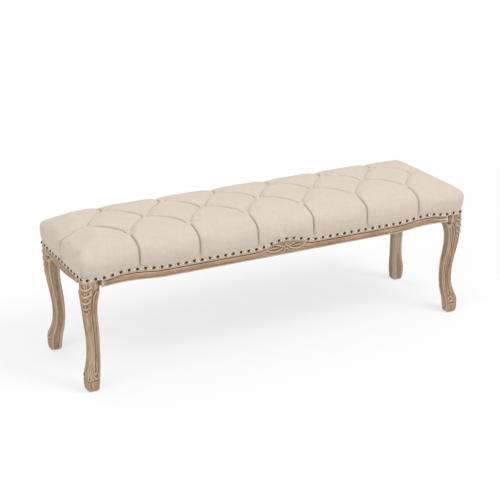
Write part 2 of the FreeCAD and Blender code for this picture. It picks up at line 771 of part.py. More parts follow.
# Tufting hardware: covered buttons, the twines that hold them down, and washers under the deck
rim = "tuftFloor + buttonRim"
button = faceted([
    ("buttonRadius", "tuftFloor"),
    ("buttonRadius", rim),
    ("buttonRadius * cos(60)", f"{rim} + buttonDome"),
], 6)
for row, tufts in TUFTS.items():
    parts.append(shape_part(f"tuft_buttons_{row}", at_places(button, tufts)))
washer_low = "frameTop - twineWasherThickness"
knot_low = f"{washer_low} - knotLength"
twine = stack(("knotRadius", knot_low, washer_low), ("twineRadius", washer_low, "tuftFloor"), sides=4)
twine_washer = stack(("twineWasherRadius", washer_low, "frameTop"), bore="twineRadius + twineGap", sides=4)
parts.append(shape_part("tuft_twines", at_places(twine, ALL_TUFTS)))
parts.append(shape_part("twine_washers", at_places(twine_washer, ALL_TUFTS)))
glide = faceted([("glideRadius - 0.6", "0"), ("glideRadius", "0.6"), ("glideRadius", "glideThickness")], 8)
foot = number("soleInset + soleWidth / 2")
parts.append(shape_part("foot_glides", at_corners(moved(glide, foot, foot, 0))))


# Gimp: a braid round the seat that follows the shoulder line
def plan_at(out, corner):
    return rounded_rectangle(f"frameLength / 2 + ({out})", f"frameDepth / 2 + ({out})", f"({corner})")


def ring_of(out, corner, low, high):
    return slab(plan_at(out, corner), low, high)


REACH = "frameLength"
ABOVE = "crownHeight + 60"
WAIST = ("shoulderHeight - 30", "crownHeight")
above_hem = elevation_slab(above_shoulder(REACH, ABOVE, "softGap"), "frameDepth")
above_gimp = elevation_slab(above_shoulder(REACH, ABOVE, "softGap + gimpWidth"), "frameDepth")
gimp_face = "gimpThickness - hemInset"
gimp = ring_of(gimp_face, f"frameCorner + {gimp_face}", *WAIST)
gimp = gimp.cut(ring_of("-hemInset", "frameCorner - hemInset", *WAIST))
gimp = gimp.common(above_hem).cut(above_gimp)
parts.append(shape_part("gimp_trim", gimp))


# Upholstery nails: pointed heads seated on the gimp at an even pitch
def ogee_height(along, run, rise):
    """Height of an ogee at a distance from its low end."""
    radius = (run ** 2 + rise ** 2) / (4 * rise)
    if along <= 0:
        return 0
    if along < run / 2:
        return radius - math.sqrt(radius ** 2 - along ** 2)
    return rise - radius + math.sqrt(radius ** 2 - max(run - along, 0) ** 2)


def shoulder_at(x):
    """Height of the shoulder line at a distance from the middle of a long rail."""
    x = abs(x)
    flat, peak, rise = number("shoulderFlat"), number("shoulderPeak"), number("shoulderRise")
    hump, post = number("humpHalf"), number(LONG_HALF)
    height = number("shoulderHeight") + ogee_height(hump - x, hump, number("humpRise"))
    if x <= peak:
        return height + ogee_height(x - flat, peak - flat, rise)
    return height + ogee_height(post - x, post - peak, rise)


nail = faceted([("nailRadius", "0"), ("0", "nailHeight")], round(number("nailSides")))
nail.Placement = FreeCAD.Placement(Vector(), FreeCAD.Rotation(ACROSS_X, 90))
nail_line = number("softGap + gimpWidth / 2")
nail_out = number(gimp_face)
long_places = [number(x) for x in row_of(round(number("nailsLong")), "frameLength / nailsLong")]
end_places = [number(y) for y in row_of(round(number("nailsEnd")), "frameDepth / nailsEnd")]
face_y, face_x = number("frameDepth / 2") + nail_out, number("frameLength / 2") + nail_out
front_nails = Part.makeCompound([moved(nail, x, -face_y, shoulder_at(x) + nail_line) for x in long_places])
end_level = number("shoulderHeight") + nail_line
left_nails = Part.makeCompound([moved(nail, -face_x, y, end_level, -90) for y in end_places])
parts += [
    shape_part("nails_front", front_nails),
    shape_part("nails_rear", front_nails.mirror(Vector(), ACROSS_Y)),
    shape_part("nails_left", left_nails),
    shape_part("nails_right", left_nails.mirror(Vector(), ACROSS_X)),
]


# Seat cover: linen over wadding, hollow to sit over the foam, the deck and the rails' rebates
def bend(centre, start, sweep, steps):
    """Points along an arc in the plane of its two radii, from start towards sweep, a quarter turn on."""
    turns = [math.pi / 2 * n / steps for n in range(steps + 1)]
    return [centre + start * math.cos(turn) + sweep * math.sin(turn) for turn in turns]


def skin(sections):
    """A solid of flat faces between outlines of as many corners; a twisted face is two triangles."""
    faces = [sections[0], sections[-1]]
    for low, high in zip(sections, sections[1:]):
        for n in range(len(low)):
            a, b, c, d = low[n - 1], low[n], high[n], high[n - 1]
            flat = abs((b - a).cross(c - a).dot(d - a)) < 0.001
            faces += [[a, b, c, d]] if flat else [[a, b, c], [a, c, d]]
    shell = Part.Shell([Part.Face(Part.makePolygon(face + face[:1])) for face in faces])
    solid = Part.Solid(shell)
    if solid.Volume < 0:
        solid.reverse()
    return solid


def seat_plan(out, corner, height):
    """The seat's outline at one level, with its round corners in short flats."""
    half_x, half_y = number(f"frameLength / 2 + ({out})"), number(f"frameDepth / 2 + ({out})")
    radius, level = number(corner), number(height)
    ways = (-ACROSS_Y, ACROSS_X, ACROSS_Y, -ACROSS_X, -ACROSS_Y)
    points = []
    for start, sweep in zip(ways, ways[1:]):
        side = start + sweep
        centre = Vector(side.x * (half_x - radius), side.y * (half_y - radius), level)
        points += bend(centre, start * radius, sweep * radius, CORNER_STEPS)
    return points


def seat_body():
    """The untufted form, lofted up the side."""
    hem = ("-hemInset", "frameCorner - hemInset")
    levels = [seat_plan(*hem, "shoulderHeight - 12"), seat_plan(*hem, "pleatHemHeight + 1")]
    for station in SEAT_STATIONS:
        height, out, corner = (station + size for size in SEAT_SIZES)
        levels.append(seat_plan(out, corner, height))
    return skin(levels)


def fold(point, outward, across, half, depth):
    """Section of the gap between two puffs: two round shoulders that meet in the sewn line."""
    radius = (half ** 2 + depth ** 2) / (2 * depth)
    reach = math.asin(min(half / radius, 1))
    right = []
    for n in range(FOLD_STEPS + 1):
        turn = reach * (1 - n / FOLD_STEPS)
        right.append((half - radius * math.sin(turn), depth - radius * (1 - math.cos(turn))))
    right.append((half, depth + CLEAR))
    points = [point + across * x + outward * y for x, y in right]
    return points + [point - across * x + outward * y for x, y in reversed(right[1:])]


CORNER_STEPS = 3
FOLD_STEPS = 2
CLEAR = 25
UP = Vector(0, 0, 1)
FLOOR_DEPTH = number("crownHeight - tuftFloor + 2")


def diagonal(start, end):
    """A crease between two buttons, shallow half way."""
    along = (end - start).normalize()
    across = along.cross(UP)
    middle = (start + end) * 0.5
    middle.z = number("creaseHeight")
    shallow = number("crownHeight - creaseHeight + 1.5")
    return skin([
        fold(start, UP, across, number("tuftHalf"), FLOOR_DEPTH),
        fold(middle, UP, across, number("creaseHalf"), shallow),
        fold(end, UP, across, number("tuftHalf"), FLOOR_DEPTH),
    ])


def pleat(button, edge, out):
    """A straight fold from a button over the seat's edge, at edge along the outward direction, to the hem."""
    across = out.cross(UP)
    folds = [fold(button, UP, across, number("tuftHalf"), FLOOR_DEPTH)]
    for station in PLEAT_STATIONS:
        inset, height, tilt, half, depth = (number(station + size) for size in PLEAT_SIZES)
        lean = math.radians(tilt)
        outward = out * math.sin(lean) + UP * math.cos(lean)
        point = button + out * (edge - inset)
        point.z = height
        folds.append(fold(point, outward, across, half, depth))
    return skin(folds)


def tufted_cover():
    """One quarter is tufted and hollowed, then mirrored both ways."""
    reach_x, reach_y = number("frameLength"), number("frameDepth")
    quarter = Part.makeBox(reach_x, reach_y, number(ABOVE), Vector(0, -reach_y, 0))
    cover = seat_body().common(quarter)
    cover = cover.common(above_hem)
    collar = ring_of("gimpWidth", "frameCorner + gimpWidth", "shoulderHeight - 40", "crownHeight")
    core = ring_of("-hemInset", "frameCorner - hemInset", "shoulderHeight - 41", "crownHeight + 1")
    over_gimp = above_shoulder(REACH, ABOVE, "softGap + gimpWidth + softGap")
    cover = cover.cut(collar.cut(core).cut(elevation_slab(over_gimp, "frameDepth")))
    deck_plan = ("softGap - rebateDepth", "frameCorner - rebateDepth + softGap")
    deck_room = ring_of(*deck_plan, WAIST[0], f"{DECK_TOP} + softGap")
    foam_plan = ("softGap - foamInset", "foamCorner + softGap")
    foam_room = ring_of(*foam_plan, DECK_TOP, f"{DECK_TOP} + foamThickness + softGap")
    cover = cover.cut(deck_room).cut(foam_room)
    floor = number("tuftFloor")
    spots = [Vector(number(x), number(y), floor) for x, y in ALL_TUFTS]
    spots = [spot for spot in spots if spot.x >= -1 and spot.y <= 1]
    fronts = [spot for spot in spots if spot.y < -1]
    middles = [spot for spot in spots if spot.y >= -1]
    for spot in fronts:
        for other in middles:
            if abs(other.x - spot.x) < number(TUFT_PITCH):
                cover = cover.cut(diagonal(spot, other))
        cover = cover.cut(pleat(spot, number("tuftInset"), -ACROSS_Y))
    last = max(middles, key=lambda spot: spot.x)
    cover = cover.cut(pleat(last, number("tuftInset"), ACROSS_X))
    dimple = faceted([("buttonRadius + buttonGap", "tuftFloor"), ("buttonRadius + buttonGap", ABOVE)], 6)
    dimple = dimple.fuse(bore("twineRadius + twineGap", DECK_TOP, "tuftFloor + 1", 4))
    for spot in spots:
        cover = cover.cut(moved(dimple, spot.x, spot.y, 0))
    half = cover.fuse(cover.mirror(Vector(), ACROSS_X))
    whole = half.fuse(half.mirror(Vector(), ACROSS_Y))
    return whole.removeSplitter()


parts.append(shape_part("tufted_cover", tufted_cover()))


def check_document():
    """Stops where anything failed, came out empty, or a cut took nothing away."""
    doc.recompute()
    cuts = ("PartDesign::Pocket", "PartDesign::SubtractivePipe", "PartDesign::SubtractivePrism")
    for item in doc.Objects:
        if "Invalid" in item.State or "Error" in item.State:
            raise RuntimeError(f"{item.Name} failed: {item.State}")
        if item.TypeId in cuts:
            if item.BaseFeature.Shape.Volume - item.Shape.Volume < 0.5:
                raise RuntimeError(f"{item.Name} cuts nothing")
    for part in parts:
        if part.Shape.isNull() or not part.Shape.isValid() or not part.Shape.Solids:
            raise RuntimeError(f"{part.Label} has no sound shape")


check_document()
os.makedirs("parts", exist_ok=True)
for part in parts:
    part.Shape.exportStep(f"parts/{part.Label}.step")
    box = part.Shape.BoundBox
    count, volume = len(part.Shape.Solids), part.Shape.Volume / 1000
    print(f"{part.Label}: {count} solid(s), {volume:.1f} cm3, z {box.ZMin:.1f} to {box.ZMax:.1f}")
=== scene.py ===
import math
import bmesh
import bpy
import numpy as np
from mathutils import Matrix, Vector, noise


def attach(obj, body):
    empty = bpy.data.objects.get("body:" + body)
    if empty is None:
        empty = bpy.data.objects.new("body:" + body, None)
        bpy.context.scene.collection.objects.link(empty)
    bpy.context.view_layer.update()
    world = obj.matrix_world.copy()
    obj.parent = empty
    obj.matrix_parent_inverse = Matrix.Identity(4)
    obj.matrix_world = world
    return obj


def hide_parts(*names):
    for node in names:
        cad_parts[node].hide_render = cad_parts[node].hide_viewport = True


# Tufted bench in washed oak and linen. Metres, X along the bench, the front faces -Y.
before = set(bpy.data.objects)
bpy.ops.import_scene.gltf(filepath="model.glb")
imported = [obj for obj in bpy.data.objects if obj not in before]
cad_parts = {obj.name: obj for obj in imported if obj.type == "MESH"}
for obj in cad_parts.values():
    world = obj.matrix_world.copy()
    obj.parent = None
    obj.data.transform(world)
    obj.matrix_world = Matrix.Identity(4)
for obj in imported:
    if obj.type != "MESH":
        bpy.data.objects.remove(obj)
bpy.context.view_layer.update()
scene = bpy.context.scene
mm = 0.001
print("frame loaded:", len(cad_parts), "nodes")


# Colours and nodes
def colour(hexText):
    # An sRGB hex value as linear RGBA.
    parts = [int(hexText[n:n + 2], 16) / 255 for n in (1, 3, 5)]
    return [c / 12.92 if c <= 0.04045 else ((c + 0.055) / 1.055) ** 2.4 for c in parts] + [1.0]


def add(tree, kind, settings=None, **links):
    # Adds a node. Settings are properties, sockets by name or number, or a ramp's stops. A link comes from
    # an output, from a node's first output, or is a plain colour, and n1 stands for socket number 1.
    made = tree.nodes.new("ShaderNode" + kind)
    for key, value in (settings or {}).items():
        if key == "stops":
            elements = made.color_ramp.elements
            while len(elements) < len(value):
                elements.new(0.5)
            for element, (place, tone) in zip(elements, value):
                element.position = place
                element.color = colour(tone) if isinstance(tone, str) else [tone, tone, tone, 1.0]
        elif isinstance(key, str) and hasattr(made, key):
            setattr(made, key, value)
        else:
            made.inputs[key].default_value = value
    for key, source in links.items():
        socket = made.inputs[int(key[1:]) if key[0] == "n" and key[1:].isdigit() else key.replace("_", " ")]
        if isinstance(source, str):
            socket.default_value = colour(source)
        else:
            tree.links.new(source.outputs[0] if isinstance(source, bpy.types.Node) else source, socket)
    return made


def layered(tree, base, layers):
    # Lays colours over a base: each layer has the pattern that places it, its stops and its colour.
    for pattern, stops, tone in layers:
        share = add(tree, "ValToRGB", {"stops": stops}, Fac=pattern)
        base = add(tree, "Mix", {"data_type": "RGBA"}, n0=share, n6=base, n7=tone).outputs[2]
    return base


def newMaterial(name, onCloth=False):
    # An empty material, its tree, and the coordinates that its patterns read.
    made = bpy.data.materials.new(name)
    made.use_nodes = True
    tree = made.node_tree
    tree.nodes.clear()
    if onCloth:
        return made, tree, add(tree, "UVMap", {"uv_map": "cloth"}).outputs["UV"]
    return made, tree, add(tree, "TexCoord").outputs["Object"]


def finishMaterial(made, settings, **links):
    # The main shader with its constants on its own sockets.
    shader = add(made.node_tree, "BsdfPrincipled", settings, **links)
    add(made.node_tree, "OutputMaterial", Surface=shader)
    return made


# Meshes
def toObject(bm, name, material, smooth=True):
    mesh = bpy.data.meshes.new(name)
    bm.to_mesh(mesh)
    bm.free()
    if smooth:
        mesh.shade_smooth()
    made = bpy.data.objects.new(name, mesh)
    scene.collection.objects.link(made)
    made.data.materials.append(material)
    return made


def settle(piece, node):
    # The piece stands for the node and rides on the only body.
    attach(piece, "root")
    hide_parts(node)
    print("made", piece.name, len(piece.data.polygons), "faces")


def extrudeRim(bm, edges):
    # Draws edges out once and gives the new vertices and the edges between them.
    made = bmesh.ops.extrude_edge_only(bm, edges=edges)["geom"]
    fresh = {item for item in made if isinstance(item, bmesh.types.BMVert)}
    edges = [item for item in made if isinstance(item, bmesh.types.BMEdge)]
    return fresh, [edge for edge in edges if fresh.issuperset(edge.verts)]


def drawOut(rings, capped=True):
    # A bmesh drawn out from ring to ring; each ring is a list of places, in the same order.
    bm = bmesh.new()
    order = bm.verts.layers.int.new("order")
    verts = [bm.verts.new(place) for place in rings[0]]
    for n, vert in enumerate(verts):
        vert[order] = n
    edges = [bm.edges.new(pair) for pair in zip(verts, verts[1:] + verts[:1])]
    if capped:
        bm.faces.new(verts)
    for ring in rings[1:]:
        fresh, edges = extrudeRim(bm, edges)
        for vert in fresh:
            vert.co = ring[vert[order]]
    if capped:
        bm.faces.new(sorted(fresh, key=lambda vert: vert[order]))
    bmesh.ops.recalc_face_normals(bm, faces=bm.faces)
    return bm


def turnProfile(bm, base, axis, aside, profile, sides):
    # Turns a profile, radius and height in mm, round the axis that stands on the base.
    verts = [bm.verts.new(base + aside * r * mm + axis * h * mm) for r, h in profile]
    edges = [bm.edges.new(pair) for pair in zip(verts, verts[1:])]
    bmesh.ops.spin(bm, geom=verts + edges, cent=base, axis=axis, angle=2 * math.pi, steps=sides,
                   use_merge=True)


def closeUp(bm):
    # Merges doubles and points all faces outwards.
    bmesh.ops.remove_doubles(bm, verts=bm.verts, dist=1e-6)
    bmesh.ops.recalc_face_normals(bm, faces=bm.faces)


def islands(node):
    # The centre and half size of each separate solid of a node.
    bm = bmesh.new()
    bm.from_mesh(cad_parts[node].data)
    bmesh.ops.remove_doubles(bm, verts=bm.verts, dist=1e-6)
    left, found = set(bm.verts), []
    while left:
        group, edge = set(), [left.pop()]
        while edge:
            vert = edge.pop()
            group.add(vert)
            near = {e.other_vert(vert) for e in vert.link_edges} & left
            left -= near
            edge += near
        places = np.array([vert.co for vert in group])
        low, high = places.min(0), places.max(0)
        found.append((Vector((low + high) / 2), Vector((high - low) / 2)))
    bm.free()
    return sorted(found, key=lambda item: tuple(item[0]))


def vertexRows(mesh, name):
    # The places or the normals of the vertices, one row each.
    values = np.empty(len(mesh.vertices) * 3, np.float32)
    mesh.vertices.foreach_get(name, values)
    return values.reshape(-1, 3).astype(float)


def storeValue(mesh, name, values):
    # Keeps one number for each vertex, where a material reads it.
    stored = mesh.attributes.new(name, "FLOAT", "POINT")
    stored.data.foreach_set("value", values.astype(np.float32))


def markHollows(piece):
    # Stores how hollow (1) or proud (0) the surface is at each vertex, for glaze and rubbed edges.
    mesh = piece.data
    places, normals = vertexRows(mesh, "co"), vertexRows(mesh, "normal")
    edges = np.empty(len(mesh.edges) * 2, int)
    mesh.edges.foreach_get("vertices", edges)
    a, b = edges.reshape(-1, 2).T
    both, count = np.r_[a, b], len(places)
    reach = np.bincount(both, minlength=count).clip(1)

    def spread(values):
        # Each vertex gets the mean of its neighbours.
        return np.bincount(both, np.r_[values[b], values[a]], minlength=count) / reach

    mean = np.column_stack([spread(places[:, n]) for n in range(3)])
    length = spread(np.linalg.norm(places - mean, axis=1)) + 0.1 * mm
    bend = ((mean - places) * normals).sum(1) / (length + 0.6 * mm)
    for _ in range(2):
        bend = 0.5 * bend + 0.5 * spread(bend)
    storeValue(mesh, "hollow", np.clip(0.5 + bend * 1.1, 0, 1))


def smoothStep(low, high, value):
    t = np.clip((value - low) / (high - low), 0, 1)
    return t * t * (3 - 2 * t)


def swell(off, width):
    # A smooth rise, 1 where nothing is off and gone beyond two widths.
    return np.exp(-(off / width) ** 2)


def throughPoints(stations, count):
    # A smooth curve through the stations (rows of numbers), sampled evenly by the first two columns.
    rows = np.array(stations, float)
    steps = np.linalg.norm(np.diff(rows[:, :2], axis=0), axis=1)
    at = np.r_[0, np.cumsum(steps)]
    slopes = np.gradient(rows, at, axis=0)
    fine = np.linspace(0, at[-1], count * 12)
    k = np.clip(np.searchsorted(at, fine, side="right") - 1, 0, len(at) - 2)
    span = (at[k + 1] - at[k])[:, None]
    t = ((fine - at[k])[:, None]) / span
    curve = (
        (2 * t**3 - 3 * t**2 + 1) * rows[k] + (t**3 - 2 * t**2 + t) * span * slopes[k]
        + (3 * t**2 - 2 * t**3) * rows[k + 1] + (t**3 - t**2) * span * slopes[k + 1]
    )
    run = np.r_[0, np.cumsum(np.linalg.norm(np.diff(curve[:, :2], axis=0), axis=1))]
    even = np.linspace(0, run[-1], count)
    return np.column_stack([np.interp(even, run, curve[:, n]) for n in range(curve.shape[1])]), even


# Materials
def washedOak(name, along):
    # Carved oak, limed, then glazed brown: pale open grain, brown in the hollows, edges rubbed bare.
    made, tree, place = newMaterial(name)
    lengthwise = {"x": (1, 12, 12), "y": (12, 1, 12), "z": (12, 12, 1)}[along]
    grain = add(tree, "Mapping", {"Scale": lengthwise}, Vector=place)
    # growth bands about 9 mm apart across the board, stretched twelve times along it
    bands = add(tree, "TexNoise", {"Scale": 9.0, "Detail": 6.0, "Roughness": 0.62, "Distortion": 0.5},
                Vector=grain)
    # open pores about 1.2 mm apart, drawn coarser than the 0.3 mm of real oak so that they show
    pores = add(tree, "TexNoise", {"Scale": 62.0, "Detail": 3.0, "Roughness": 0.7}, Vector=grain)
    # the hand-rubbed finish is uneven over 60 mm or so
    patches = add(tree, "TexNoise", {"Scale": 16.0, "Detail": 3.0, "Roughness": 0.55}, Vector=place)
    hollow = add(tree, "Attribute", {"attribute_name": "hollow"}).outputs["Fac"]
    tones = [(0.3, "#7d5a40"), (0.46, "#a37f61"), (0.6, "#c09f80"), (0.74, "#d6bb9d")]
    wood = layered(tree, add(tree, "ValToRGB", {"stops": tones}, Fac=bands), [
        (pores, [(0.5, 0.0), (0.66, 0.55)], "#dccab2"),  # lime in the pores
        (patches, [(0.35, 0.0), (0.7, 0.4)], "#c4aa8d"),  # dusty patches
        (hollow, [(0.26, 0.75), (0.45, 0.0)], "#e6d6c0"),  # edges rubbed bare
        (hollow, [(0.53, 0.0), (0.68, 0.95)], "#3c2616"),  # glaze left in the hollows
    ])
    rough = add(tree, "MapRange", {"To Min": 0.5, "To Max": 0.72}, Value=bands)
    bump = add(tree, "Bump", {"Strength": 0.35, "Distance": 0.6 * mm}, Height=pores)
    bump = add(tree, "Bump", {"Strength": 0.3, "Distance": 1 * mm}, Height=bands, Normal=bump)
    return finishMaterial(made, {"IOR": 1.5}, Base_Color=wood, Roughness=rough, Normal=bump)


def plainPine(name, along):
    # Planed pine, unfinished: yellowish, soft darker growth lines, dull.
    made, tree, place = newMaterial(name)
    lengthwise = {"x": (1, 9, 9), "y": (9, 1, 9)}[along]
    grain = add(tree, "Mapping", {"Scale": lengthwise}, Vector=place)
    # growth lines 3 to 4 mm apart
    lines = add(tree, "TexNoise", {"Scale": 24.0, "Detail": 5.0, "Roughness": 0.6, "Distortion": 0.3},
                Vector=grain)
    fibre = add(tree, "TexNoise", {"Scale": 120.0, "Detail": 2.0}, Vector=grain)
    tones = [(0.3, "#b98d5c"), (0.5, "#d6b07d"), (0.7, "#e2c597")]
    wood = layered(tree, add(tree, "ValToRGB", {"stops": tones}, Fac=lines),
                   [(fibre, [(0.4, 0.0), (0.7, 0.3)], "#c59c6c")])
    bump = add(tree, "Bump", {"Strength": 0.25, "Distance": 0.4 * mm}, Height=fibre)
    return finishMaterial(made, {"IOR": 1.5, "Roughness": 0.68}, Base_Color=wood, Normal=bump)


def birchPlywood(name):
    # Seven-ply birch: pale faces with faint flame grain, and 1.7 mm layers, light and dark, on its edges.
    made, tree, place = newMaterial(name)
    grain = add(tree, "Mapping", {"Scale": (1, 7, 1)}, Vector=place)
    flame = add(tree, "TexNoise", {"Scale": 7.0, "Detail": 5.0, "Distortion": 0.8}, Vector=grain)
    level = add(tree, "SeparateXYZ", Vector=place).outputs["Z"]
    # a light and a dark layer together are 3.43 mm, and 291 turns that into 0 to 1
    layers = add(tree, "Math", {"operation": "WRAP", 1: 0.00343, 2: 0.0}, n0=level)
    layers = add(tree, "Math", {"operation": "MULTIPLY", 1: 291.0}, n0=layers)
    edge = add(tree, "ValToRGB", {"stops": [(0.44, "#d9bf96"), (0.56, "#a98558")]}, Fac=layers)
    face = add(tree, "ValToRGB", {"stops": [(0.35, "#cfae80"), (0.65, "#e3cba4")]}, Fac=flame)
    normal = add(tree, "NewGeometry").outputs["True Normal"]
    upright = add(tree, "SeparateXYZ", Vector=normal).outputs["Z"]
    upright = add(tree, "Math", {"operation": "ABSOLUTE"}, n0=upright)
    flat = add(tree, "ValToRGB", {"stops": [(0.4, 0.0), (0.6, 1.0)]}, Fac=upright)
    wood = add(tree, "Mix", {"data_type": "RGBA"}, n0=flat, n6=edge, n7=face).outputs[2]
    bump = add(tree, "Bump", {"Strength": 0.2, "Distance": 0.4 * mm}, Height=flame)
    return finishMaterial(made, {"IOR": 1.5, "Roughness": 0.6}, Base_Color=wood, Normal=bump)


def linenWeave(name, light, dark, thread):
    # Plain-woven linen: matt, slubby, small light and dark threads, a soft halo of loose fibre, and painted
    # shade along its sewn folds.
    made, tree, place = newMaterial(name, onCloth=True)
    threads, slubs = [], []
    for way, stretch in (("X", (22, 1, 1)), ("Y", (1, 22, 1))):
        wave = {"bands_direction": way, "wave_profile": "SIN", "Scale": 0.5 / thread,
                "Distortion": 0.6, "Detail": 1.0, "Detail Scale": 60.0}
        threads.append(add(tree, "TexWave", wave, Vector=place).outputs["Fac"])
        # slubs: threads thicker for 15 to 40 mm, in both directions
        drawn = add(tree, "Mapping", {"Scale": stretch}, Vector=place)
        slub = add(tree, "TexNoise", {"Scale": 26.0, "Detail": 3.0, "Roughness": 0.6}, Vector=drawn)
        slubs.append(slub.outputs["Color"])
    weave = add(tree, "Math", {"operation": "MAXIMUM"}, n0=threads[0], n1=threads[1])
    slubs = add(tree, "Mix", {"data_type": "RGBA", 0: 0.5}, n6=slubs[0], n7=slubs[1]).outputs[2]
    cloudy = add(tree, "TexNoise", {"Scale": 9.0, "Detail": 4.0, "Roughness": 0.6}, Vector=place)
    # the attribute read here marks where shade is painted along the sewn folds
    tuck = add(tree, "Attribute", {"attribute_name": "tuck"}).outputs["Fac"]
    cloth = layered(tree, light, [
        (slubs, [(0.36, 1.0), (0.62, 0.0)], dark),
        (cloudy, [(0.35, 0.0), (0.7, 0.35)], dark),
        (weave, [(0.2, 0.2), (0.8, 0.0)], "#a08f7c"),
        (tuck, [(0.1, 0.0), (0.95, 0.72)], "#7c6750"),  # painted shade, darker along the sewn folds and pleats
    ])
    fine = add(tree, "Bump", {"Strength": 0.5, "Distance": 0.3 * mm}, Height=weave)
    coarse = add(tree, "Bump", {"Strength": 0.35, "Distance": 0.5 * mm}, Height=slubs, Normal=fine)
    matt = {"Roughness": 0.92, "Specular IOR Level": 0.25, "Sheen Weight": 0.18, "Sheen Roughness": 0.55}
    return finishMaterial(made, matt, Base_Color=cloth, Normal=coarse)


def braidedGimp(name):
    # Woven gimp: two corded edges and a plaited middle in linen thread, with a painted highlight on each
    # loop's crest and painted shade between the loops.
    made, tree, place = newMaterial(name, onCloth=True)
    # loops 6.5 mm long, crossed both ways, drawn twice as coarse as real ones so that they show
    loops = []
    for slant in (0.9, -0.9):
        slanted = add(tree, "Mapping", {"Rotation": (0, 0, slant)}, Vector=place)
        wave = {"Scale": 48.0, "Distortion": 0.5, "Detail": 1.0, "Detail Scale": 30.0}
        loops.append(add(tree, "TexWave", wave, Vector=slanted).outputs["Fac"])
    plait = add(tree, "Math", {"operation": "MAXIMUM"}, n0=loops[0], n1=loops[1])
    # painted highlight on the loops' crests and painted shade in the gaps between them, following their
    # height
    tones = [(0.35, "#92806a"), (0.62, "#cbbca4"), (0.9, "#f0e7d8")]
    loopHighlightAndShade = add(tree, "ValToRGB", {"stops": tones}, Fac=plait)
    bump = add(tree, "Bump", {"Strength": 0.8, "Distance": 0.6 * mm}, Height=plait)
    matt = {"Roughness": 0.72, "Sheen Weight": 0.2, "Sheen Roughness": 0.4}
    return finishMaterial(made, matt, Base_Color=loopHighlightAndShade, Normal=bump)


def antiqueBronze(name):
    # Bronze-plated steel nail heads, antiqued: dark brown with brighter bronze in fine random patches.
    made, tree, place = newMaterial(name)
    tarnish = add(tree, "TexNoise", {"Scale": 420.0, "Detail": 3.0}, Vector=place)
    pits = add(tree, "TexNoise", {"Scale": 1600.0, "Detail": 2.0}, Vector=place)
    tones = [(0.35, "#2c2118"), (0.55, "#4f3b29"), (0.75, "#8a6c49")]
    metal = add(tree, "ValToRGB", {"stops": tones}, Fac=tarnish)
    rough = add(tree, "MapRange", {"To Min": 0.28, "To Max": 0.5}, Value=tarnish)
    bump = add(tree, "Bump", {"Strength": 0.15, "Distance": 0.2 * mm}, Height=pits)
    return finishMaterial(made, {"Metallic": 1.0}, Base_Color=metal, Roughness=rough, Normal=bump)


def zincPlatedSteel(name):
    # Zinc-plated steel hardware: grey with a faint mottle, fine turning marks.
    made, tree, place = newMaterial(name)
    mottle = add(tree, "TexNoise", {"Scale": 260.0, "Detail": 3.0}, Vector=place)
    turned = add(tree, "Mapping", {"Scale": (1, 1, 8)}, Vector=place)
    marks = add(tree, "TexNoise", {"Scale": 1500.0, "Detail": 1.0}, Vector=turned)
    metal = add(tree, "ValToRGB", {"stops": [(0.35, "#8f9394"), (0.7, "#bfc2c1")]}, Fac=mottle)
    bump = add(tree, "Bump", {"Strength": 0.1, "Distance": 0.2 * mm}, Height=marks)
    return finishMaterial(made, {"Metallic": 1.0, "Roughness": 0.36}, Base_Color=metal, Normal=bump)


def mottled(name, low, high, scale, settings, bumpDepth):
    # A plain dull material with a fine mottle: fibre, foam cells or moulded grain by its scale.
    made, tree, place = newMaterial(name)
    grain = add(tree, "TexNoise", {"Scale": scale, "Detail": 4.0, "Roughness": 0.6}, Vector=place)
    broad = add(tree, "TexNoise", {"Scale": scale / 14, "Detail": 2.0}, Vector=place)
    both = add(tree, "Mix", {"data_type": "RGBA", 0: 0.3}, n6=grain.outputs["Color"],
               n7=broad.outputs["Color"])
    tone = add(tree, "ValToRGB", {"stops": [(0.35, low), (0.65, high)]}, Fac=both.outputs[2])
    bump = add(tree, "Bump", {"Strength": 0.5, "Distance": bumpDepth}, Height=grain)
    return finishMaterial(made, settings, Base_Color=tone, Normal=bump)


oakAlong = {axis: washedOak("limedOakGrain" + axis.upper(), axis) for axis in "xyz"}
# linen threads are 0.6 mm apart; a setting of 1.1 mm draws them 0.7 mm apart
linen = linenWeave("oatmealLinen", "#e8dccd", "#dacbb9", 1.1 * mm)
gimpBraid = braidedGimp("linenGimp")
bronze = antiqueBronze("antiqueBronzeNail")
print("materials made")

# Shape of the frame that several pieces follow
apron = {
    "halfLength": 677 * mm, "halfDepth": 188 * mm, "post": 60 * mm, "top": 400 * mm, "thickness": 24 * mm,
    "bottom": 333 * mm, "rise": 8 * mm, "flat": 400 * mm, "peak": 545 * mm, "endFlat": 12 * mm,
    "shoulder": 361.5 * mm, "shoulderFlat": 400 * mm, "shoulderPeak": 535 * mm, "shoulderRise": 9 * mm,
    "humpHalf": 110 * mm, "humpRise": 18.5 * mm, "rebate": 3.5 * mm,
}


def ogeeHeight(x, start, end, rise):
    # Height of two equal arcs that lift a level line by rise between start and end.
    if x <= start:
        return 0.0
    if x >= end:
        return rise
    radius = ((end - start) ** 2 + rise ** 2) / (4 * rise)
    run = min(x - start, end - x)
    part = radius - math.sqrt(radius ** 2 - run ** 2)
    return part if x - start <= end - x else rise - part


def shoulderAt(x):
    # Where the fabric ends and the show wood starts on a long side.
    x = abs(x)
    if x < apron["humpHalf"]:
        return apron["shoulder"] + apron["humpRise"] - ogeeHeight(x, 0, apron["humpHalf"], apron["humpRise"])
    post = apron["halfLength"] - apron["post"]
    lift = ogeeHeight(x, apron["shoulderFlat"], apron["shoulderPeak"], apron["shoulderRise"])
    drop = ogeeHeight(x, apron["shoulderPeak"], post, apron["shoulderRise"])
    return apron["shoulder"] + lift - drop


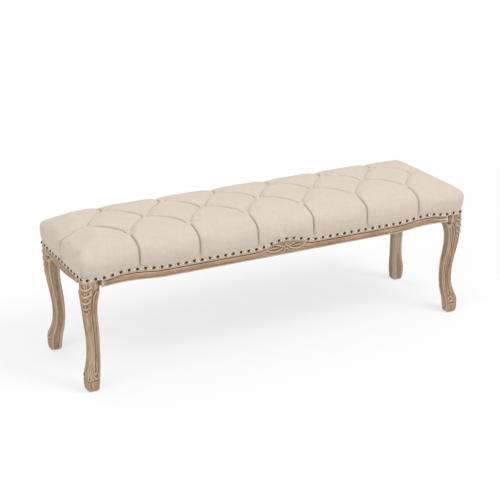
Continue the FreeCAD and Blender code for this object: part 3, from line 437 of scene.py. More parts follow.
def lowerEdgeAt(along, flat, peak):
    # A rail's lower edge: level, then up an ogee to its peak, and over the peak.
    along = abs(along)
    if along <= peak:
        return apron["bottom"] + ogeeHeight(along, flat, peak, apron["rise"])
    radius = ((peak - flat) ** 2 + apron["rise"] ** 2) / (4 * apron["rise"])
    over = along - peak
    return apron["bottom"] + apron["rise"] - (radius - math.sqrt(radius ** 2 - over ** 2))


# Apron rails: a moulding run along each, and the carved ornament in the middle of the front
rail = {
    "step": 6 * mm, "carvedStep": 1.2 * mm,
    # depth behind the face and height, in mm: the bead from the lower edge, the fillet from the shoulder
    "bead": [(24, 0), (12, 0), (2, 0), (0.9, 0.3), (0.2, 1.2), (0, 2.2), (0.3, 3.3), (1.1, 3.9), (2.3, 4.2),
             (2.5, 4.7)],
    "fillet": [(2.9, -8.3), (3.3, -7.4), (2.9, -6.2), (1.2, -5.4), (0.4, -4.8), (0.3, -3.6), (0.3, -0.6),
               (0.6, -0.1), (3.5, 0), (3.5, 1)],
    # the crowned band between the two: its distances from the edge and the shoulder, and its crown
    "bandOver": 5 * mm, "bandUnder": 8.7 * mm, "bandCrown": 2.1 * mm, "bandPoints": 19,
    # the carved field, which lies a little behind the band
    "carvedHalf": 74 * mm, "carvedEase": 8 * mm, "carvedUnder": 5.5 * mm, "fieldDepth": 1.1 * mm,
    "fieldLimit": 3.6 * mm, "ornamentLift": 24.5 * mm,
    "leafPlace": 40 * mm, "leafLong": 28 * mm, "leafHigh": 10.5 * mm, "leafRim": 2.6 * mm,
    "leafHollow": 2.6 * mm, "leafVein": 0.35 * mm, "scrollOff": 3 * mm, "scrollRadius": 4.2 * mm,
    "scrollHigh": 1.3 * mm, "flowerRadius": 11.5 * mm, "petalHigh": 2.9 * mm, "eyeHigh": 2.2 * mm,
    "eyeRing": 1.2 * mm,
}


def railSection(low, shoulder):
    # Depth behind the face and height of the outline, from the inner foot round the face to the inner top.
    section = [(depth * mm, low + height * mm) for depth, height in rail["bead"]]
    bandLow, bandHigh = low + rail["bandOver"], shoulder - rail["bandUnder"]
    for u in np.linspace(-1, 1, rail["bandPoints"]):
        section.append((rail["bandCrown"] * abs(u) ** 3.2, bandLow + (bandHigh - bandLow) * (u + 1) / 2))
    section += [(depth * mm, shoulder + height * mm) for depth, height in rail["fillet"]]
    return section + [(apron["rebate"], apron["top"]), (apron["thickness"], apron["top"])]


def ornament(x, z):
    # Relief of the middle ornament: a five-petalled flower between two hollowed leaves in a raised rim.
    z -= apron["bottom"] + rail["ornamentLift"]
    along, across = (abs(x) - rail["leafPlace"]) / rail["leafLong"], z / rail["leafHigh"]
    pointed = abs(along) ** 1.5 + abs(across) ** 1.7
    high = rail["leafRim"] * swell(pointed - 1, 0.33)
    if pointed < 1:
        high -= rail["leafHollow"] * (1 - pointed) ** 0.6 * (1 - 0.65 * swell(across, 0.22))
        high += rail["leafVein"] * math.cos((along * 2.2 + abs(across) * 1.3) * 9)
    # scroll ends beyond the leaf tips
    tip = rail["leafPlace"] + rail["leafLong"] + rail["scrollOff"]
    reach = math.hypot(abs(x) - tip, z * 1.2) / rail["scrollRadius"]
    high += rail["scrollHigh"] * swell(reach - 0.7, 0.45)
    turn, reach = math.atan2(z, x), math.hypot(x, z) / rail["flowerRadius"]
    if reach < 1.25:
        petal = 0.78 + 0.22 * math.cos(5 * turn - math.pi / 2)
        flower = rail["petalHigh"] * swell(reach / petal - 0.68, 0.33)
        flower += rail["eyeHigh"] * swell(reach, 0.2) - rail["eyeRing"] * swell(reach, 0.36)
        high = max(high if reach > 0.95 else 0, flower)
    return high


def makeLongRail(name, node, front):
    half, carvedHalf = apron["halfLength"] - apron["post"], rail["carvedHalf"]
    places = list(np.arange(-half, half + 1e-6, 2 * half / round(2 * half / rail["step"])))
    if front:
        places = [x for x in places if abs(x) > carvedHalf]
        places += list(np.arange(-carvedHalf, carvedHalf + 1e-6, rail["carvedStep"]))
        places.sort()
    rings = []
    for x in places:
        low, shoulder = lowerEdgeAt(x, apron["flat"], apron["peak"]), shoulderAt(x)
        carved = front and abs(x) < carvedHalf + 1e-6
        calm = smoothStep(carvedHalf, carvedHalf - rail["carvedEase"], abs(x))
        ring = []
        for depth, z in railSection(low, shoulder):
            inField = low + rail["bandOver"] < z < shoulder - rail["carvedUnder"]
            if carved and inField and depth < rail["fieldLimit"]:
                depth = min(depth, 2.4 * mm) * (1 - 0.5 * calm)
                depth += (rail["fieldDepth"] - ornament(x, z)) * calm
            ring.append((x, (-1 if front else 1) * (apron["halfDepth"] - depth), z))
        rings.append(ring)
    piece = toObject(drawOut(rings), name, oakAlong["x"])
    markHollows(piece)
    settle(piece, node)


def makeEndRail(name, node, side):
    half = apron["halfDepth"] - apron["post"]
    rings = []
    for y in np.linspace(-half, half, 45):
        section = railSection(lowerEdgeAt(y, apron["endFlat"], half), apron["shoulder"])
        rings.append([(side * (apron["halfLength"] - depth), y, z) for depth, z in section])
    piece = toObject(drawOut(rings), name, oakAlong["y"])
    markHollows(piece)
    settle(piece, node)


makeLongRail("apronFront", "rail_front", True)
makeLongRail("apronRear", "rail_rear", False)
makeEndRail("apronLeft", "rail_left", -1)
makeEndRail("apronRight", "rail_right", 1)

# Legs: carved cabriole legs, in mm, each ring of the shaft measured in from the frame's corner
leg = {
    "across": 16, "rings": 150,
    # height, inset of the outward faces, width
    "stations": [(2, 4.5, 33), (7, 2.6, 36.5), (13, 1.5, 38.5), (32, 0.6, 41), (52, 2.4, 41.5),
                 (76, 9.5, 38.5), (106, 15.8, 35.4), (140, 17.6, 34.6), (182, 14.8, 36.2), (222, 9.3, 37.8),
                 (262, 4.6, 39.8), (298, 1.6, 45.5), (318, 0.4, 52), (333, 0, 60)],
    # radius of the outer arris and cut of the inner corners, on the shaft and at the neck
    "arris": 9, "neckArris": 12, "inner": 4.5, "neckInner": 22,
    # the post over the neck: its width and its heights, and the step back where the fabric is tacked
    "post": 60, "postFoot": 335, "postTop": 400, "step": 3.5,
    # knee lobes: height of the middle, half width, half height; then their rim and hollow
    "lobes": [(347, 23, 12), (325, 21, 12), (303, 17.5, 11.5), (283, 13.5, 10.5), (266, 9, 9)],
    "lobeRim": 2.6, "lobeHollow": 1.5,
    # the bead that runs from the rail down each outward face: height, distance from the arris as a
    # share of the width; then how proud it is, and the grooves on its two sides
    "bead": [(362, 0.97), (350, 0.84), (335, 0.7), (315, 0.62), (290, 0.6), (240, 0.6), (120, 0.6),
             (80, 0.61), (64, 0.64)],
    "beadHigh": 1.5, "grooveOff": 4.6, "innerGroove": 1.7, "outerGroove": 1.1,
    "voluteHeight": 52, "volutePlace": 0.63, "voluteRadius": 8.5, "ankleGroove": 1.3,
}


def legRelief(w, z, width):
    # Relief in mm at w mm round the corner from the outer arris (the same on both sides), z mm up.
    w = abs(w)
    high = 0.0
    for middle, halfWide, halfHigh in leg["lobes"]:
        up = (z - middle) / halfHigh
        reach = math.hypot(w / halfWide, up)
        if reach < 1.7:
            lower = 0.55 + 0.45 * math.tanh(-up * 2)
            high += leg["lobeRim"] * lower * swell(reach - 0.92, 0.2)
            high -= leg["lobeHollow"] * math.exp(-(reach / 0.62) ** 4) * (1 - 0.6 * swell(w, 2.2))
    beadZ, beadW = zip(*reversed(leg["bead"]))
    off = w - np.interp(z, beadZ, beadW) * width
    fade = smoothStep(56, 66, z) * (1 - smoothStep(360, 363, z))
    high += fade * leg["beadHigh"] * swell(off, 2.3)
    high -= fade * leg["innerGroove"] * swell(off + leg["grooveOff"], 1.5)
    high -= fade * leg["outerGroove"] * swell(off - leg["grooveOff"], 1.5)
    # volute with a deep eye at the foot, and leaf strokes between it and the arris
    across, up = w - leg["volutePlace"] * width, z - leg["voluteHeight"]
    reach, turn = math.hypot(across, up) / leg["voluteRadius"], math.atan2(up, across)
    if reach < 1.5:
        spiral = reach - 0.1 * turn / math.pi
        high += 2.0 * swell(spiral - 0.86, 0.2) - 1.6 * swell(spiral - 0.52, 0.16) - 2.2 * swell(reach, 0.2)
    leaf = smoothStep(34, 42, z) * (1 - smoothStep(62, 82, z)) * math.exp(-(w / 15) ** 4)
    high += leaf * (0.9 * math.cos(w * 0.75 - (z - 50) * 0.12) + 0.5)
    return high - leg["ankleGroove"] * swell(z - 35.5 - w * 0.08, 1.7) * smoothStep(width, width - 6, w)


def legRing(z, inset, width, arris, inner):
    # Places round the square section, in mm from the frame's corner, starting on the arris.
    near, far = inset, inset + width
    flat = near + arris
    half = []
    for n in range(5):
        a = math.radians(45 + 45 * n / 5)
        half.append((flat - arris * math.cos(a), flat - arris * math.sin(a), arris * (a - math.pi / 4)))
    for u in np.linspace(flat, far - inner, 2 * leg["across"] + 1):
        half.append((u, near, arris * 0.785 + u - flat))
    shaped = []
    for u, v, w in half:
        high = legRelief(w, z, width)
        tilt = 0.7071 * (1 - smoothStep(arris * 0.6, arris * 1.6, w))
        shaped.append((u - tilt * high, v - math.sqrt(1 - tilt * tilt) * high))
    for n in range(1, 7):
        shaped.append((far - inner + inner * n / 7, near + inner * n / 7))
    for n in range(7):
        shaped.append((far, near + inner + (far - inner - near - inner) * n / 6))
    shaped.append((far - inner / 2, far - inner / 2))
    other = [(v, u) for u, v in shaped[1:-1]]
    return shaped + other[::-1]


def makeLeg(name, node, sx, sy):
    rings = []
    for z, inset, width in throughPoints(leg["stations"], leg["rings"])[0]:
        arris = leg["arris"] + (leg["neckArris"] - leg["arris"]) * smoothStep(300, 333, z)
        inner = leg["inner"] + (leg["neckInner"] - leg["inner"]) * smoothStep(316, 333, z)
        rings.append((z, inset, width, arris, inner))
    # the sole is eased all round
    rings[0] = (2, rings[0][1] + 0.8, rings[0][2] - 1.6, leg["arris"] - 0.8, leg["inner"])
    shoulder, post, step = apron["shoulder"] / mm, leg["post"], leg["step"]
    for z in np.linspace(leg["postFoot"], shoulder, 14):
        rings.append((z, 0, post, leg["neckArris"], leg["neckInner"]))
    for z in (shoulder, shoulder + 2, leg["postTop"]):
        rings.append((z, step, post - step, leg["neckArris"] - step, leg["neckInner"]))
    cornerX, cornerY = apron["halfLength"], apron["halfDepth"]
    solid = [[(sx * (cornerX - u * mm), sy * (cornerY - v * mm), section[0] * mm)
              for u, v in legRing(*section)] for section in rings]
    piece = toObject(drawOut(solid), name, oakAlong["z"])
    markHollows(piece)
    settle(piece, node)


for end, sy in (("Front", -1), ("Rear", 1)):
    for side, sx in (("Left", -1), ("Right", 1)):
        makeLeg(f"leg{end}{side}", f"leg_{end.lower()}_{side.lower()}", sx, sy)

# Seat cover: the fabric starts as a grid over the tufted middle and is drawn out over the edge to its hem
seat = {
    "steps": 22, "rings": 36, "pitch": 99 * mm, "row": 105 * mm, "perSide": 6, "top": 476 * mm,
    "floor": 456 * mm, "crease": 470 * mm, "creaseHalf": 48 * mm, "fullness": 2.25, "buttonHalf": 40 * mm,
    # beside the sewn depth: how far the painted shade spreads from a fold
    "buttonRoom": 10 * mm, "sewnDepth": 3 * mm, "paintedFoldShadeWidth": 3.2 * mm, "fabric": 1.3 * mm, "blend": 1.8 * mm,
    # height, how far the fabric stands out past the frame's faces, corner radius in plan, in mm
    "profile": [(473.6, -83, 40), (472.8, -76, 38), (468, -58, 34), (461, -37, 29), (454.5, -20, 25),
                (447, -8, 21.5), (438, -0.3, 19), (424, 3.2, 17), (404, 3.6, 16), (386, 1.8, 14),
                (374, -1.5, 10.5), (362.1, -1.5, 10.5)],
    # the middle domes up from its edge over this width, and the edge falls away more towards the ends
    "domeWidth": 62 * mm, "endDrop": 9 * mm,
    # the folds that run back to the right lie open: their share of the sewn depth and of the painted shade
    "openFold": 0.3,
    # along a pleat: share of the way to the hem, half width, depth, in mm
    "pleat": [(0, 52, 19), (0.1, 46, 13), (0.2, 40, 9.5), (0.4, 34, 7), (0.6, 29, 5.5), (0.8, 24, 4),
              (0.93, 19, 2.4), (1, 14, 1.2)],
    # pulls round each button: their distance from it, how wide they are and how deep
    "pullPlace": 27 * mm, "pullWidth": 11 * mm, "pull": 1 * mm, "uneven": 1 * mm,
    # the slight folds each side of a corner: distance, width, depth
    "cornerFold": 7 * mm, "cornerFoldWidth": 3 * mm, "cornerFoldDepth": 1.6 * mm,
    "hemFrom": 402 * mm, "hemGap": 0.6 * mm, "pressure": 3.0, "cap": 3 * mm, "frames": 20,
}


def seatGrid():
    # The cover's faces, with each vertex's place on the middle's edge, its ring, and its sewn lines.
    bm = bmesh.new()
    steps, cells = seat["steps"], 2 * seat["perSide"]
    halfX, halfY = seat["pitch"] * seat["perSide"], seat["row"]
    bmesh.ops.create_grid(bm, x_segments=cells * steps, y_segments=2 * steps, size=1.0)
    reach = max(vert.co.x for vert in bm.verts)
    bmesh.ops.scale(bm, verts=bm.verts, vec=(halfX / reach, halfY / reach, 1))
    creased = bm.edges.layers.float.new("crease_edge")
    names = ("sewn", "ring", "edgeX", "edgeY")
    sewn, ring, edgeX, edgeY = [bm.verts.layers.float.new(name) for name in names]
    stepX, stepY = seat["pitch"] / steps, seat["row"] / steps

    def onCrease(vert):
        # On one of the diagonals that cross at the buttons.
        across = round((vert.co.x + halfX) / stepX) % (2 * steps)
        return min(across, 2 * steps - across) == abs(round((vert.co.y + halfY) / stepY) - steps)

    for face in list(bm.faces):
        on = [vert for vert in face.verts if onCrease(vert)]
        if len(on) == 2 and not bm.edges.get(on):
            bmesh.utils.face_split(face, on[0], on[1])
    for vert in bm.verts:
        vert[edgeX], vert[edgeY] = vert.co.x, vert.co.y
        vert[sewn] = 1.0 if onCrease(vert) else 0.0
    for edge in bm.edges:
        if all(vert[sewn] > 0.5 for vert in edge.verts):
            edge[creased] = 0.7
    rim = [edge for edge in bm.edges if edge.is_boundary]
    for n in range(1, seat["rings"] + 1):
        fresh, rim = extrudeRim(bm, rim)
        for vert in fresh:
            vert[ring] = n
            underButton = abs((vert[edgeX] / seat["pitch"]) % 2 - 1) < 1e-3
            onSide = abs(abs(vert[edgeY]) - halfY) < 1e-5 and abs(vert[edgeX]) < halfX - 1e-4
            onEnd = abs(vert[edgeY]) < 1e-5
            vert[sewn] = 1.0 if (underButton and onSide) or onEnd or n == seat["rings"] else 0.0
    for edge in bm.edges:
        a, b = edge.verts
        if a[ring] != b[ring] and a[sewn] > 0.5 and b[sewn] > 0.5:
            edge[creased] = 0.6
    return bm


def roundedFall(u):
    # How much of a fold's depth is left at a share u of its half width: steep at the fold, level on the puff.
    full = seat["fullness"]
    return 1 - (1 - (1 - np.clip(u, 0, 1)) ** full) ** (1 / full)


def shapeSeat(piece):
    # Moves the grid's vertices onto the tufted seat, and gives the fabric its own flat map.
    mesh = piece.data
    values = {}
    for name in ("edgeX", "edgeY", "ring", "sewn"):
        read = np.empty(len(mesh.vertices), np.float32)
        mesh.attributes[name].data.foreach_get("value", read)
        values[name] = read.astype(float)
    ex, ey, ring = values["edgeX"], values["edgeY"], values["ring"].round().astype(int)
    halfX, row = seat["pitch"] * seat["perSide"], seat["row"]
    profile = np.array(seat["profile"]) * mm
    rows, run = throughPoints(profile, seat["rings"] + 1)
    z, out, radius = rows.T
    radius = radius * smoothStep(0, 9, np.arange(len(z)))
    slopeZ, slopeOut = np.gradient(z, run), np.gradient(out, run)
    ax, ay = np.abs(ex), np.abs(ey)
    sx, sy = np.where(ex < 0, -1.0, 1.0), np.where(ey < 0, -1.0, 1.0)
    inner = ring == 0
    outer = ~inner

    # walk round the corner from the last pleat of the long side to the pleat of the end
    start = halfX - seat["pitch"]
    roundCorner = ax > start - 1e-6
    share = np.where(roundCorner, (ax - start + row - ay) / (seat["pitch"] + row), 0)
    hx, hy = apron["halfLength"] + out[ring], apron["halfDepth"] + out[ring]
    r = np.maximum(radius[ring], 1e-5)
    first, bend, last = hx - r - start, r * math.pi / 2, hy - r
    walked = share * (first + bend + last)
    turn = np.clip((walked - first) / r, 0, math.pi / 2)
    x = np.where(roundCorner, start + np.minimum(walked, first) + r * np.sin(turn), ax)
    y = hy - r * (1 - np.cos(turn)) - np.maximum(walked - first - bend, 0)
    facing = np.column_stack([sx * np.sin(turn), sy * np.cos(turn)])
    x, y = np.where(inner, ax, x), np.where(inner, ay, y)

    # height of the untufted form and the direction in which it faces
    level = z[ring].copy()
    dome = smoothStep(0, seat["domeWidth"], halfX - ax) * smoothStep(0, seat["domeWidth"], row - ay)
    level[inner] = (z[0] + (seat["top"] - z[0]) * dome)[inner]
    towardsEnd = smoothStep(start, apron["halfLength"] - 10 * mm, x)
    onBrow = smoothStep(420 * mm, 455 * mm, level) * (1 - smoothStep(456 * mm, 474 * mm, level))
    level -= seat["endDrop"] * towardsEnd * onBrow
    base = np.column_stack([sx * x, sy * y, level])
    plan = base[:, :2]
    steep = np.hypot(slopeZ, slopeOut)
    up, away = slopeOut[ring] / steep[ring], -slopeZ[ring] / steep[ring]
    up[inner], away[inner] = 1, 0
    away *= smoothStep(0, 4, ring)
    normal = np.column_stack([facing[:, 0] * away, facing[:, 1] * away, up])
    normal /= np.linalg.norm(normal, axis=1)[:, None]

    # folds from button to button: depth under the form, distance from the nearest, how open that one is
    dip = seat["top"] - seat["floor"]
    folds, nearest, openness = [], np.full(len(ex), 1.0), np.ones(len(ex))
    middles = [(n * 2 - seat["perSide"]) * seat["pitch"] for n in range(seat["perSide"] + 1)]
    sides = [(n * 2 + 1 - seat["perSide"]) * seat["pitch"] for n in range(seat["perSide"])]
    lines = [(m, s, side) for m in middles for s in sides for side in (-1, 1)
             if abs(abs(m - s) - seat["pitch"]) < 1e-6]
    for m, s, side in lines:
        a, b = np.array([m, 0.0]), np.array([s, side * row])
        t = np.clip(((plan - a) @ (b - a)) / ((b - a) @ (b - a)), 0, 1)
        off = np.linalg.norm(plan - a - t[:, None] * (b - a), axis=1)
        deep = seat["top"] - seat["crease"] + (seat["crease"] - seat["floor"]) * (2 * t - 1) ** 2
        folds.append(deep * roundedFall(off / seat["creaseHalf"]))
        onThis = inner & (off < nearest)
        nearest[onThis] = off[onThis]
        openness[onThis] = seat["openFold"] if (s - m) * side > 0 else 1.0
    buttons = [(m, 0.0) for m in middles] + [(s, side * row) for s in sides for side in (-1, 1)]
    wrinkle = np.zeros(len(ex))
    for n, (bx, by) in enumerate(buttons):
        off = np.hypot(plan[:, 0] - bx, plan[:, 1] - by)
        folds.append(dip * roundedFall((off - seat["buttonRoom"]) / seat["buttonHalf"]))
        angle = np.arctan2(plan[:, 1] - by, plan[:, 0] - bx)
        pulls = np.cos(7 * angle + n * 1.7) + 0.6 * np.cos(11 * angle + n * 2.9)
        wrinkle += seat["pull"] * swell(off - seat["pullPlace"], seat["pullWidth"]) * pulls

    # pleats from the outer buttons over the edge to the hem
    shareDown = run[ring] / run[-1]
    pleatAt, pleatHalf, pleatDeep = np.array(seat["pleat"], float).T
    half = np.interp(shareDown, pleatAt, pleatHalf) * mm
    deep = np.interp(shareDown, pleatAt, pleatDeep) * mm
    far = 9
    pleats = []
    for s in sides:
        lastOne = abs(abs(s) - start) < 1e-6
        beyond = np.where(ex * s > 0, walked, far) if lastOne else far
        pleats.append(np.where(ax <= start + 1e-6, np.abs(ex - s), beyond))
    for side in (-1, 1):
        pleats.append(np.where((ex * side > 0) & (ax > start), first + bend + last - walked, far))
    for beside in pleats:
        folds.append(np.where(outer, deep * roundedFall(beside / half), 0))
        nearest = np.where(outer, np.minimum(nearest, beside), nearest)
    # two slight folds each side of a corner, where the spare fabric is turned under
    corner = np.where(outer & (ax > start), walked - first - bend / 2, far)
    lowDown = smoothStep(0.55, 0.85, shareDown)
    turnedUnder = swell(np.abs(corner) - seat["cornerFold"], seat["cornerFoldWidth"])
    folds.append(lowDown * seat["cornerFoldDepth"] * turnedUnder)

    # all of them blended, the seam sewn a little deeper, and the fabric's own unevenness on the puffs
    total = sum(np.expm1(fold / seat["blend"]) for fold in folds)
    depth = np.minimum(seat["blend"] * np.log1p(total), np.where(ring < 3, base[:, 2] - seat["floor"], dip))
    seam = values["sewn"] * (ring < seat["rings"]) * (depth < dip - 3 * mm)
    depth += seam * openness * seat["sewnDepth"]
    # painted shade along the nearest fold, lighter on the sides and towards the hem, and some in the
    # turned-under corner folds
    tuck = swell(nearest, seat["paintedFoldShadeWidth"]) * openness * np.where(outer, 0.75, 1)
    tuck *= 1 - 0.5 * smoothStep(0.7, 1, shareDown)
    storeValue(mesh, "tuck", np.maximum(tuck, 0.35 * lowDown * turnedUnder))
    uneven = np.array([noise.noise(Vector((px * 11, py * 11, 3.1)))
                       + 0.5 * noise.noise(Vector((px * 30, py * 30, 7.7))) for px, py in plan])
    calm = 1 - np.clip(depth / dip, 0, 1)
    depth -= calm * (wrinkle + seat["uneven"] * uneven * (1 - smoothStep(0.8, 1, shareDown)))
    places = base - normal * depth[:, None]

    # the hem follows the line of the show wood
    onLong = outer & (np.abs(facing[:, 1]) > 0.5)
    foot = [shoulderAt(px) if isLong else apron["shoulder"] for px, isLong in zip(places[:, 0], onLong)]
    foot = np.array(foot) + seat["hemGap"]
    hemZ, fromZ = profile[-1, 0], seat["hemFrom"]
    lowPart = outer & (places[:, 2] < fromZ)
    places[lowPart, 2] = (foot + (places[:, 2] - hemZ) * (fromZ - foot) / (fromZ - hemZ))[lowPart]
    mesh.vertices.foreach_set("co", places.astype(np.float32).ravel())

    # flat map of the fabric in metres; a face on an end is laid out from the end's edge
    fromMiddle = np.where(inner, 0, run[ring])
    alongSide = np.where(ax > start, start + np.minimum(walked, first + bend / 2), ax)
    sideMap = np.column_stack([np.where(inner, ex, sx * alongSide),
                               np.where(inner, ey, sy * (row + fromMiddle))])
    endMap = np.column_stack([np.where(inner, ex, sx * (halfX + fromMiddle)),
                              np.where(inner, ey, sy * (first + bend + last - walked))])
    onEnd = outer & (ax > start) & (walked > first + bend / 2)
    corners = np.empty(len(mesh.loops), int)
    mesh.loops.foreach_get("vertex_index", corners)
    faceOf = np.repeat(np.arange(len(mesh.polygons)), [len(p.vertices) for p in mesh.polygons])
    endFace = np.bincount(faceOf, onEnd[corners]) / np.bincount(faceOf) > 0.5
    flat = np.where(endFace[faceOf][:, None], endMap[corners], sideMap[corners])
    mesh.uv_layers.new(name="cloth").data.foreach_set("uv", flat.astype(np.float32).ravel())
    mesh.update()
    return values["sewn"]


def fillWithAir(piece, sewn):
    # Cloth under pressure, held at the folds, buttons and hem; no point moves further than the cap.
    before = vertexRows(piece.data, "co")
    held = piece.vertex_groups.new(name="held")
    held.add([int(n) for n in np.flatnonzero(sewn > 0.5)], 1.0, "REPLACE")
    cloth = piece.modifiers.new("Cloth", "CLOTH")
    fabric = {"quality": 5, "mass": 0.25, "tension_stiffness": 12, "compression_stiffness": 12,
              "bending_stiffness": 0.4, "vertex_group_mass": "held", "use_pressure": True,
              "uniform_pressure_force": seat["pressure"], "shrink_min": -0.012}
    for key, value in fabric.items():
        setattr(cloth.settings, key, value)
    cloth.settings.effector_weights.gravity = 0
    cloth.collision_settings.use_collision = False
    cloth.collision_settings.use_self_collision = False
    cloth.point_cache.frame_start, cloth.point_cache.frame_end = 1, seat["frames"]
    for n in range(1, seat["frames"] + 1):
        scene.frame_set(n)
    after = vertexRows(piece.evaluated_get(bpy.context.evaluated_depsgraph_get()).data, "co")
    piece.modifiers.remove(cloth)
    scene.frame_set(1)
    length = np.linalg.norm(after - before, axis=1)
    move = (after - before) * np.minimum(1, seat["cap"] / np.maximum(length, 1e-9))[:, None]
    print(f"cloth moved {length.mean() / mm:.2f} mm on average, {length.max() / mm:.1f} mm at most")
    piece.data.vertices.foreach_set("co", (before + move).astype(np.float32).ravel())
    piece.data.update()


cover = toObject(seatGrid(), "seatCover", linen)
sewn = shapeSeat(cover)
fillWithAir(cover, sewn)
subdivision = cover.modifiers.new("Subdivision", "SUBSURF")
subdivision.levels = subdivision.render_levels = 1
wall = cover.modifiers.new("Solidify", "SOLIDIFY")
wall.thickness, wall.offset = seat["fabric"], -1
settle(cover, "tufted_cover")

# Tuft buttons: a linen-covered dome over a metal shell, sunk in each tuft
button = {
    "sides": 24,
    # radius, height in mm
    "profile": [(0, 0), (8.6, 0), (9.7, 0.7), (10, 1.9), (9.5, 3.4), (7.9, 5), (5.4, 6.3), (2.7, 6.9),
                (0, 7)],
}


def makeButtons(name, node):
    bm = bmesh.new()
    for middle, half in islands(node):
        base = Vector((middle.x, middle.y, middle.z - half.z))
        turnProfile(bm, base, Vector((0, 0, 1)), Vector((1, 0, 0)), button["profile"], button["sides"])
    closeUp(bm)
    flat = bm.loops.layers.uv.new("cloth")
    for face in bm.faces:
        for loop in face.loops:
            loop[flat].uv = loop.vert.co.xy
    settle(toObject(bm, name, linen), node)


for row in ("Front", "Middle", "Rear"):
    makeButtons("tuftButtons" + row, "tuft_buttons_" + row.lower())

# Gimp: a braid with two corded edges along the line where fabric meets wood
gimp = {
    "step": 4 * mm, "inside": 1.5 * mm, "corner": 13 * mm, "lift": 0.3 * mm,
    # distance out from the seat's side, height, in mm
    "section": [(0, 0), (0, 12), (1.3, 12), (2.2, 11.6), (2.5, 10.9), (2.2, 10.1), (1.8, 9.6), (2.0, 6),
                (1.8, 2.4), (2.2, 1.9), (2.5, 1.1), (2.2, 0.4), (1.3, 0)],
}


def roundTheFrame(inside, corner, step):
    # Places and facings round the frame's rounded plan, front left corner first.
    hx, hy = apron["halfLength"] - inside - corner, apron["halfDepth"] - inside - corner
    places = []
    corners = [(-1, -1, 180), (1, -1, 270), (1, 1, 0), (-1, 1, 90)]
    for n, (sx, sy, begin) in enumerate(corners):
        for k in range(7):
            a = math.radians(begin + 15 * k)
            nx, ny = math.cos(a), math.sin(a)
            places.append((sx * hx + corner * nx, sy * hy + corner * ny, nx, ny))
        nextX, nextY = corners[(n + 1) % 4][:2]
        x0, y0 = places[-1][:2]
        x1, y1 = nextX * hx + corner * nx, nextY * hy + corner * ny
        count = round(math.hypot(x1 - x0, y1 - y0) / step)
        for k in range(1, count):
            places.append((x0 + (x1 - x0) * k / count, y0 + (y1 - y0) * k / count, nx, ny))
    return places


def makeGimp(name, node):
    route = roundTheFrame(gimp["inside"], gimp["corner"] - gimp["inside"], gimp["step"])
    rings = []
    for x, y, nx, ny in route:
        foot = (shoulderAt(x) if abs(ny) > 0.5 else apron["shoulder"]) + gimp["lift"]
        rings.append([(x + nx * d * mm, y + ny * d * mm, foot + h * mm) for d, h in gimp["section"]])
    bm = drawOut(rings + rings[:1], capped=False)
    order = bm.verts.layers.int["order"]
    flat = bm.loops.layers.uv.new("cloth")
    around = [0]
    for (x0, y0, *_), (x1, y1, *_) in zip(route, route[1:] + route[:1]):
        around.append(around[-1] + math.hypot(x1 - x0, y1 - y0))
    bm.verts.ensure_lookup_table()
    for face in bm.faces:
        for loop in face.loops:
            d, h = gimp["section"][loop.vert[order]]
            station = loop.vert.index // len(gimp["section"])
            loop[flat].uv = (around[station], (h + (d if h < 6 else -d) * 0.2) * mm)
    closeUp(bm)
    settle(toObject(bm, name, gimpBraid), node)


makeGimp("gimpBraid", "gimp_trim")

# Nails: domed heads with a thin rolled rim, on the middle line of the gimp
nail = {
    "sides": 12,
    # radius, height in mm
    "profile": [(0, 2.8), (1.7, 2.6), (3.2, 1.95), (4.3, 0.85), (4.8, 0.3), (4.7, 0), (0, 0)],
}


def makeNails(name, node, away):
    bm = bmesh.new()
    for middle, half in islands(node):
        base = middle - away * abs(half.dot(away))
        turnProfile(bm, base, away, Vector((0, 0, 1)), nail["profile"], nail["sides"])
    closeUp(bm)
    settle(toObject(bm, name, bronze), node)


for side, away in (("Front", (0, -1, 0)), ("Rear", (0, 1, 0)), ("Left", (-1, 0, 0)), ("Right", (1, 0, 0))):
    makeNails("nails" + side, "nails_" + side.lower(), Vector(away))
print("trim made")

# Foam pad under the cover: cut foam with its upper edges shaved round
foam = {
    "inside": 22 * mm, "corner": 22 * mm, "step": 30 * mm,
    # height, how far in from its side, in mm
    "levels": [(412.3, 1), (416, 0), (426, 0), (432, 1.5), (437, 6), (441.5, 13), (446, 22), (449, 32),
               (450.6, 46), (451, 70)],
}


def makeFoam():
    hx, hy = apron["halfLength"] - foam["inside"], apron["halfDepth"] - foam["inside"]
    plan = roundTheFrame(foam["inside"], foam["corner"], foam["step"])
    rings = []
    for z, inward in foam["levels"]:
        shrunkX, shrunkY = 1 - inward * mm / hx, 1 - inward * mm / hy
        rings.append([(x * shrunkX, y * shrunkY, z * mm) for x, y, *_ in plan])
    piece = toObject(drawOut(rings), "seatFoam", cutFoam)
    settle(piece, "foam_pad")


# Dust cover: black cambric stretched under the corner blocks and the braces
dust = {
    "halfLength": 652.7 * mm, "halfWidth": 163.7 * mm, "cutOff": 50 * mm, "level": 344.8 * mm,
    "thickness": 0.5 * mm, "cell": 40 * mm, "ripple": 0.2 * mm,
}
blocks = [f"corner_block_{end}_{side}" for end in ("front", "rear") for side in ("left", "right")]
braces = ["cross_brace_left", "cross_brace_right"]


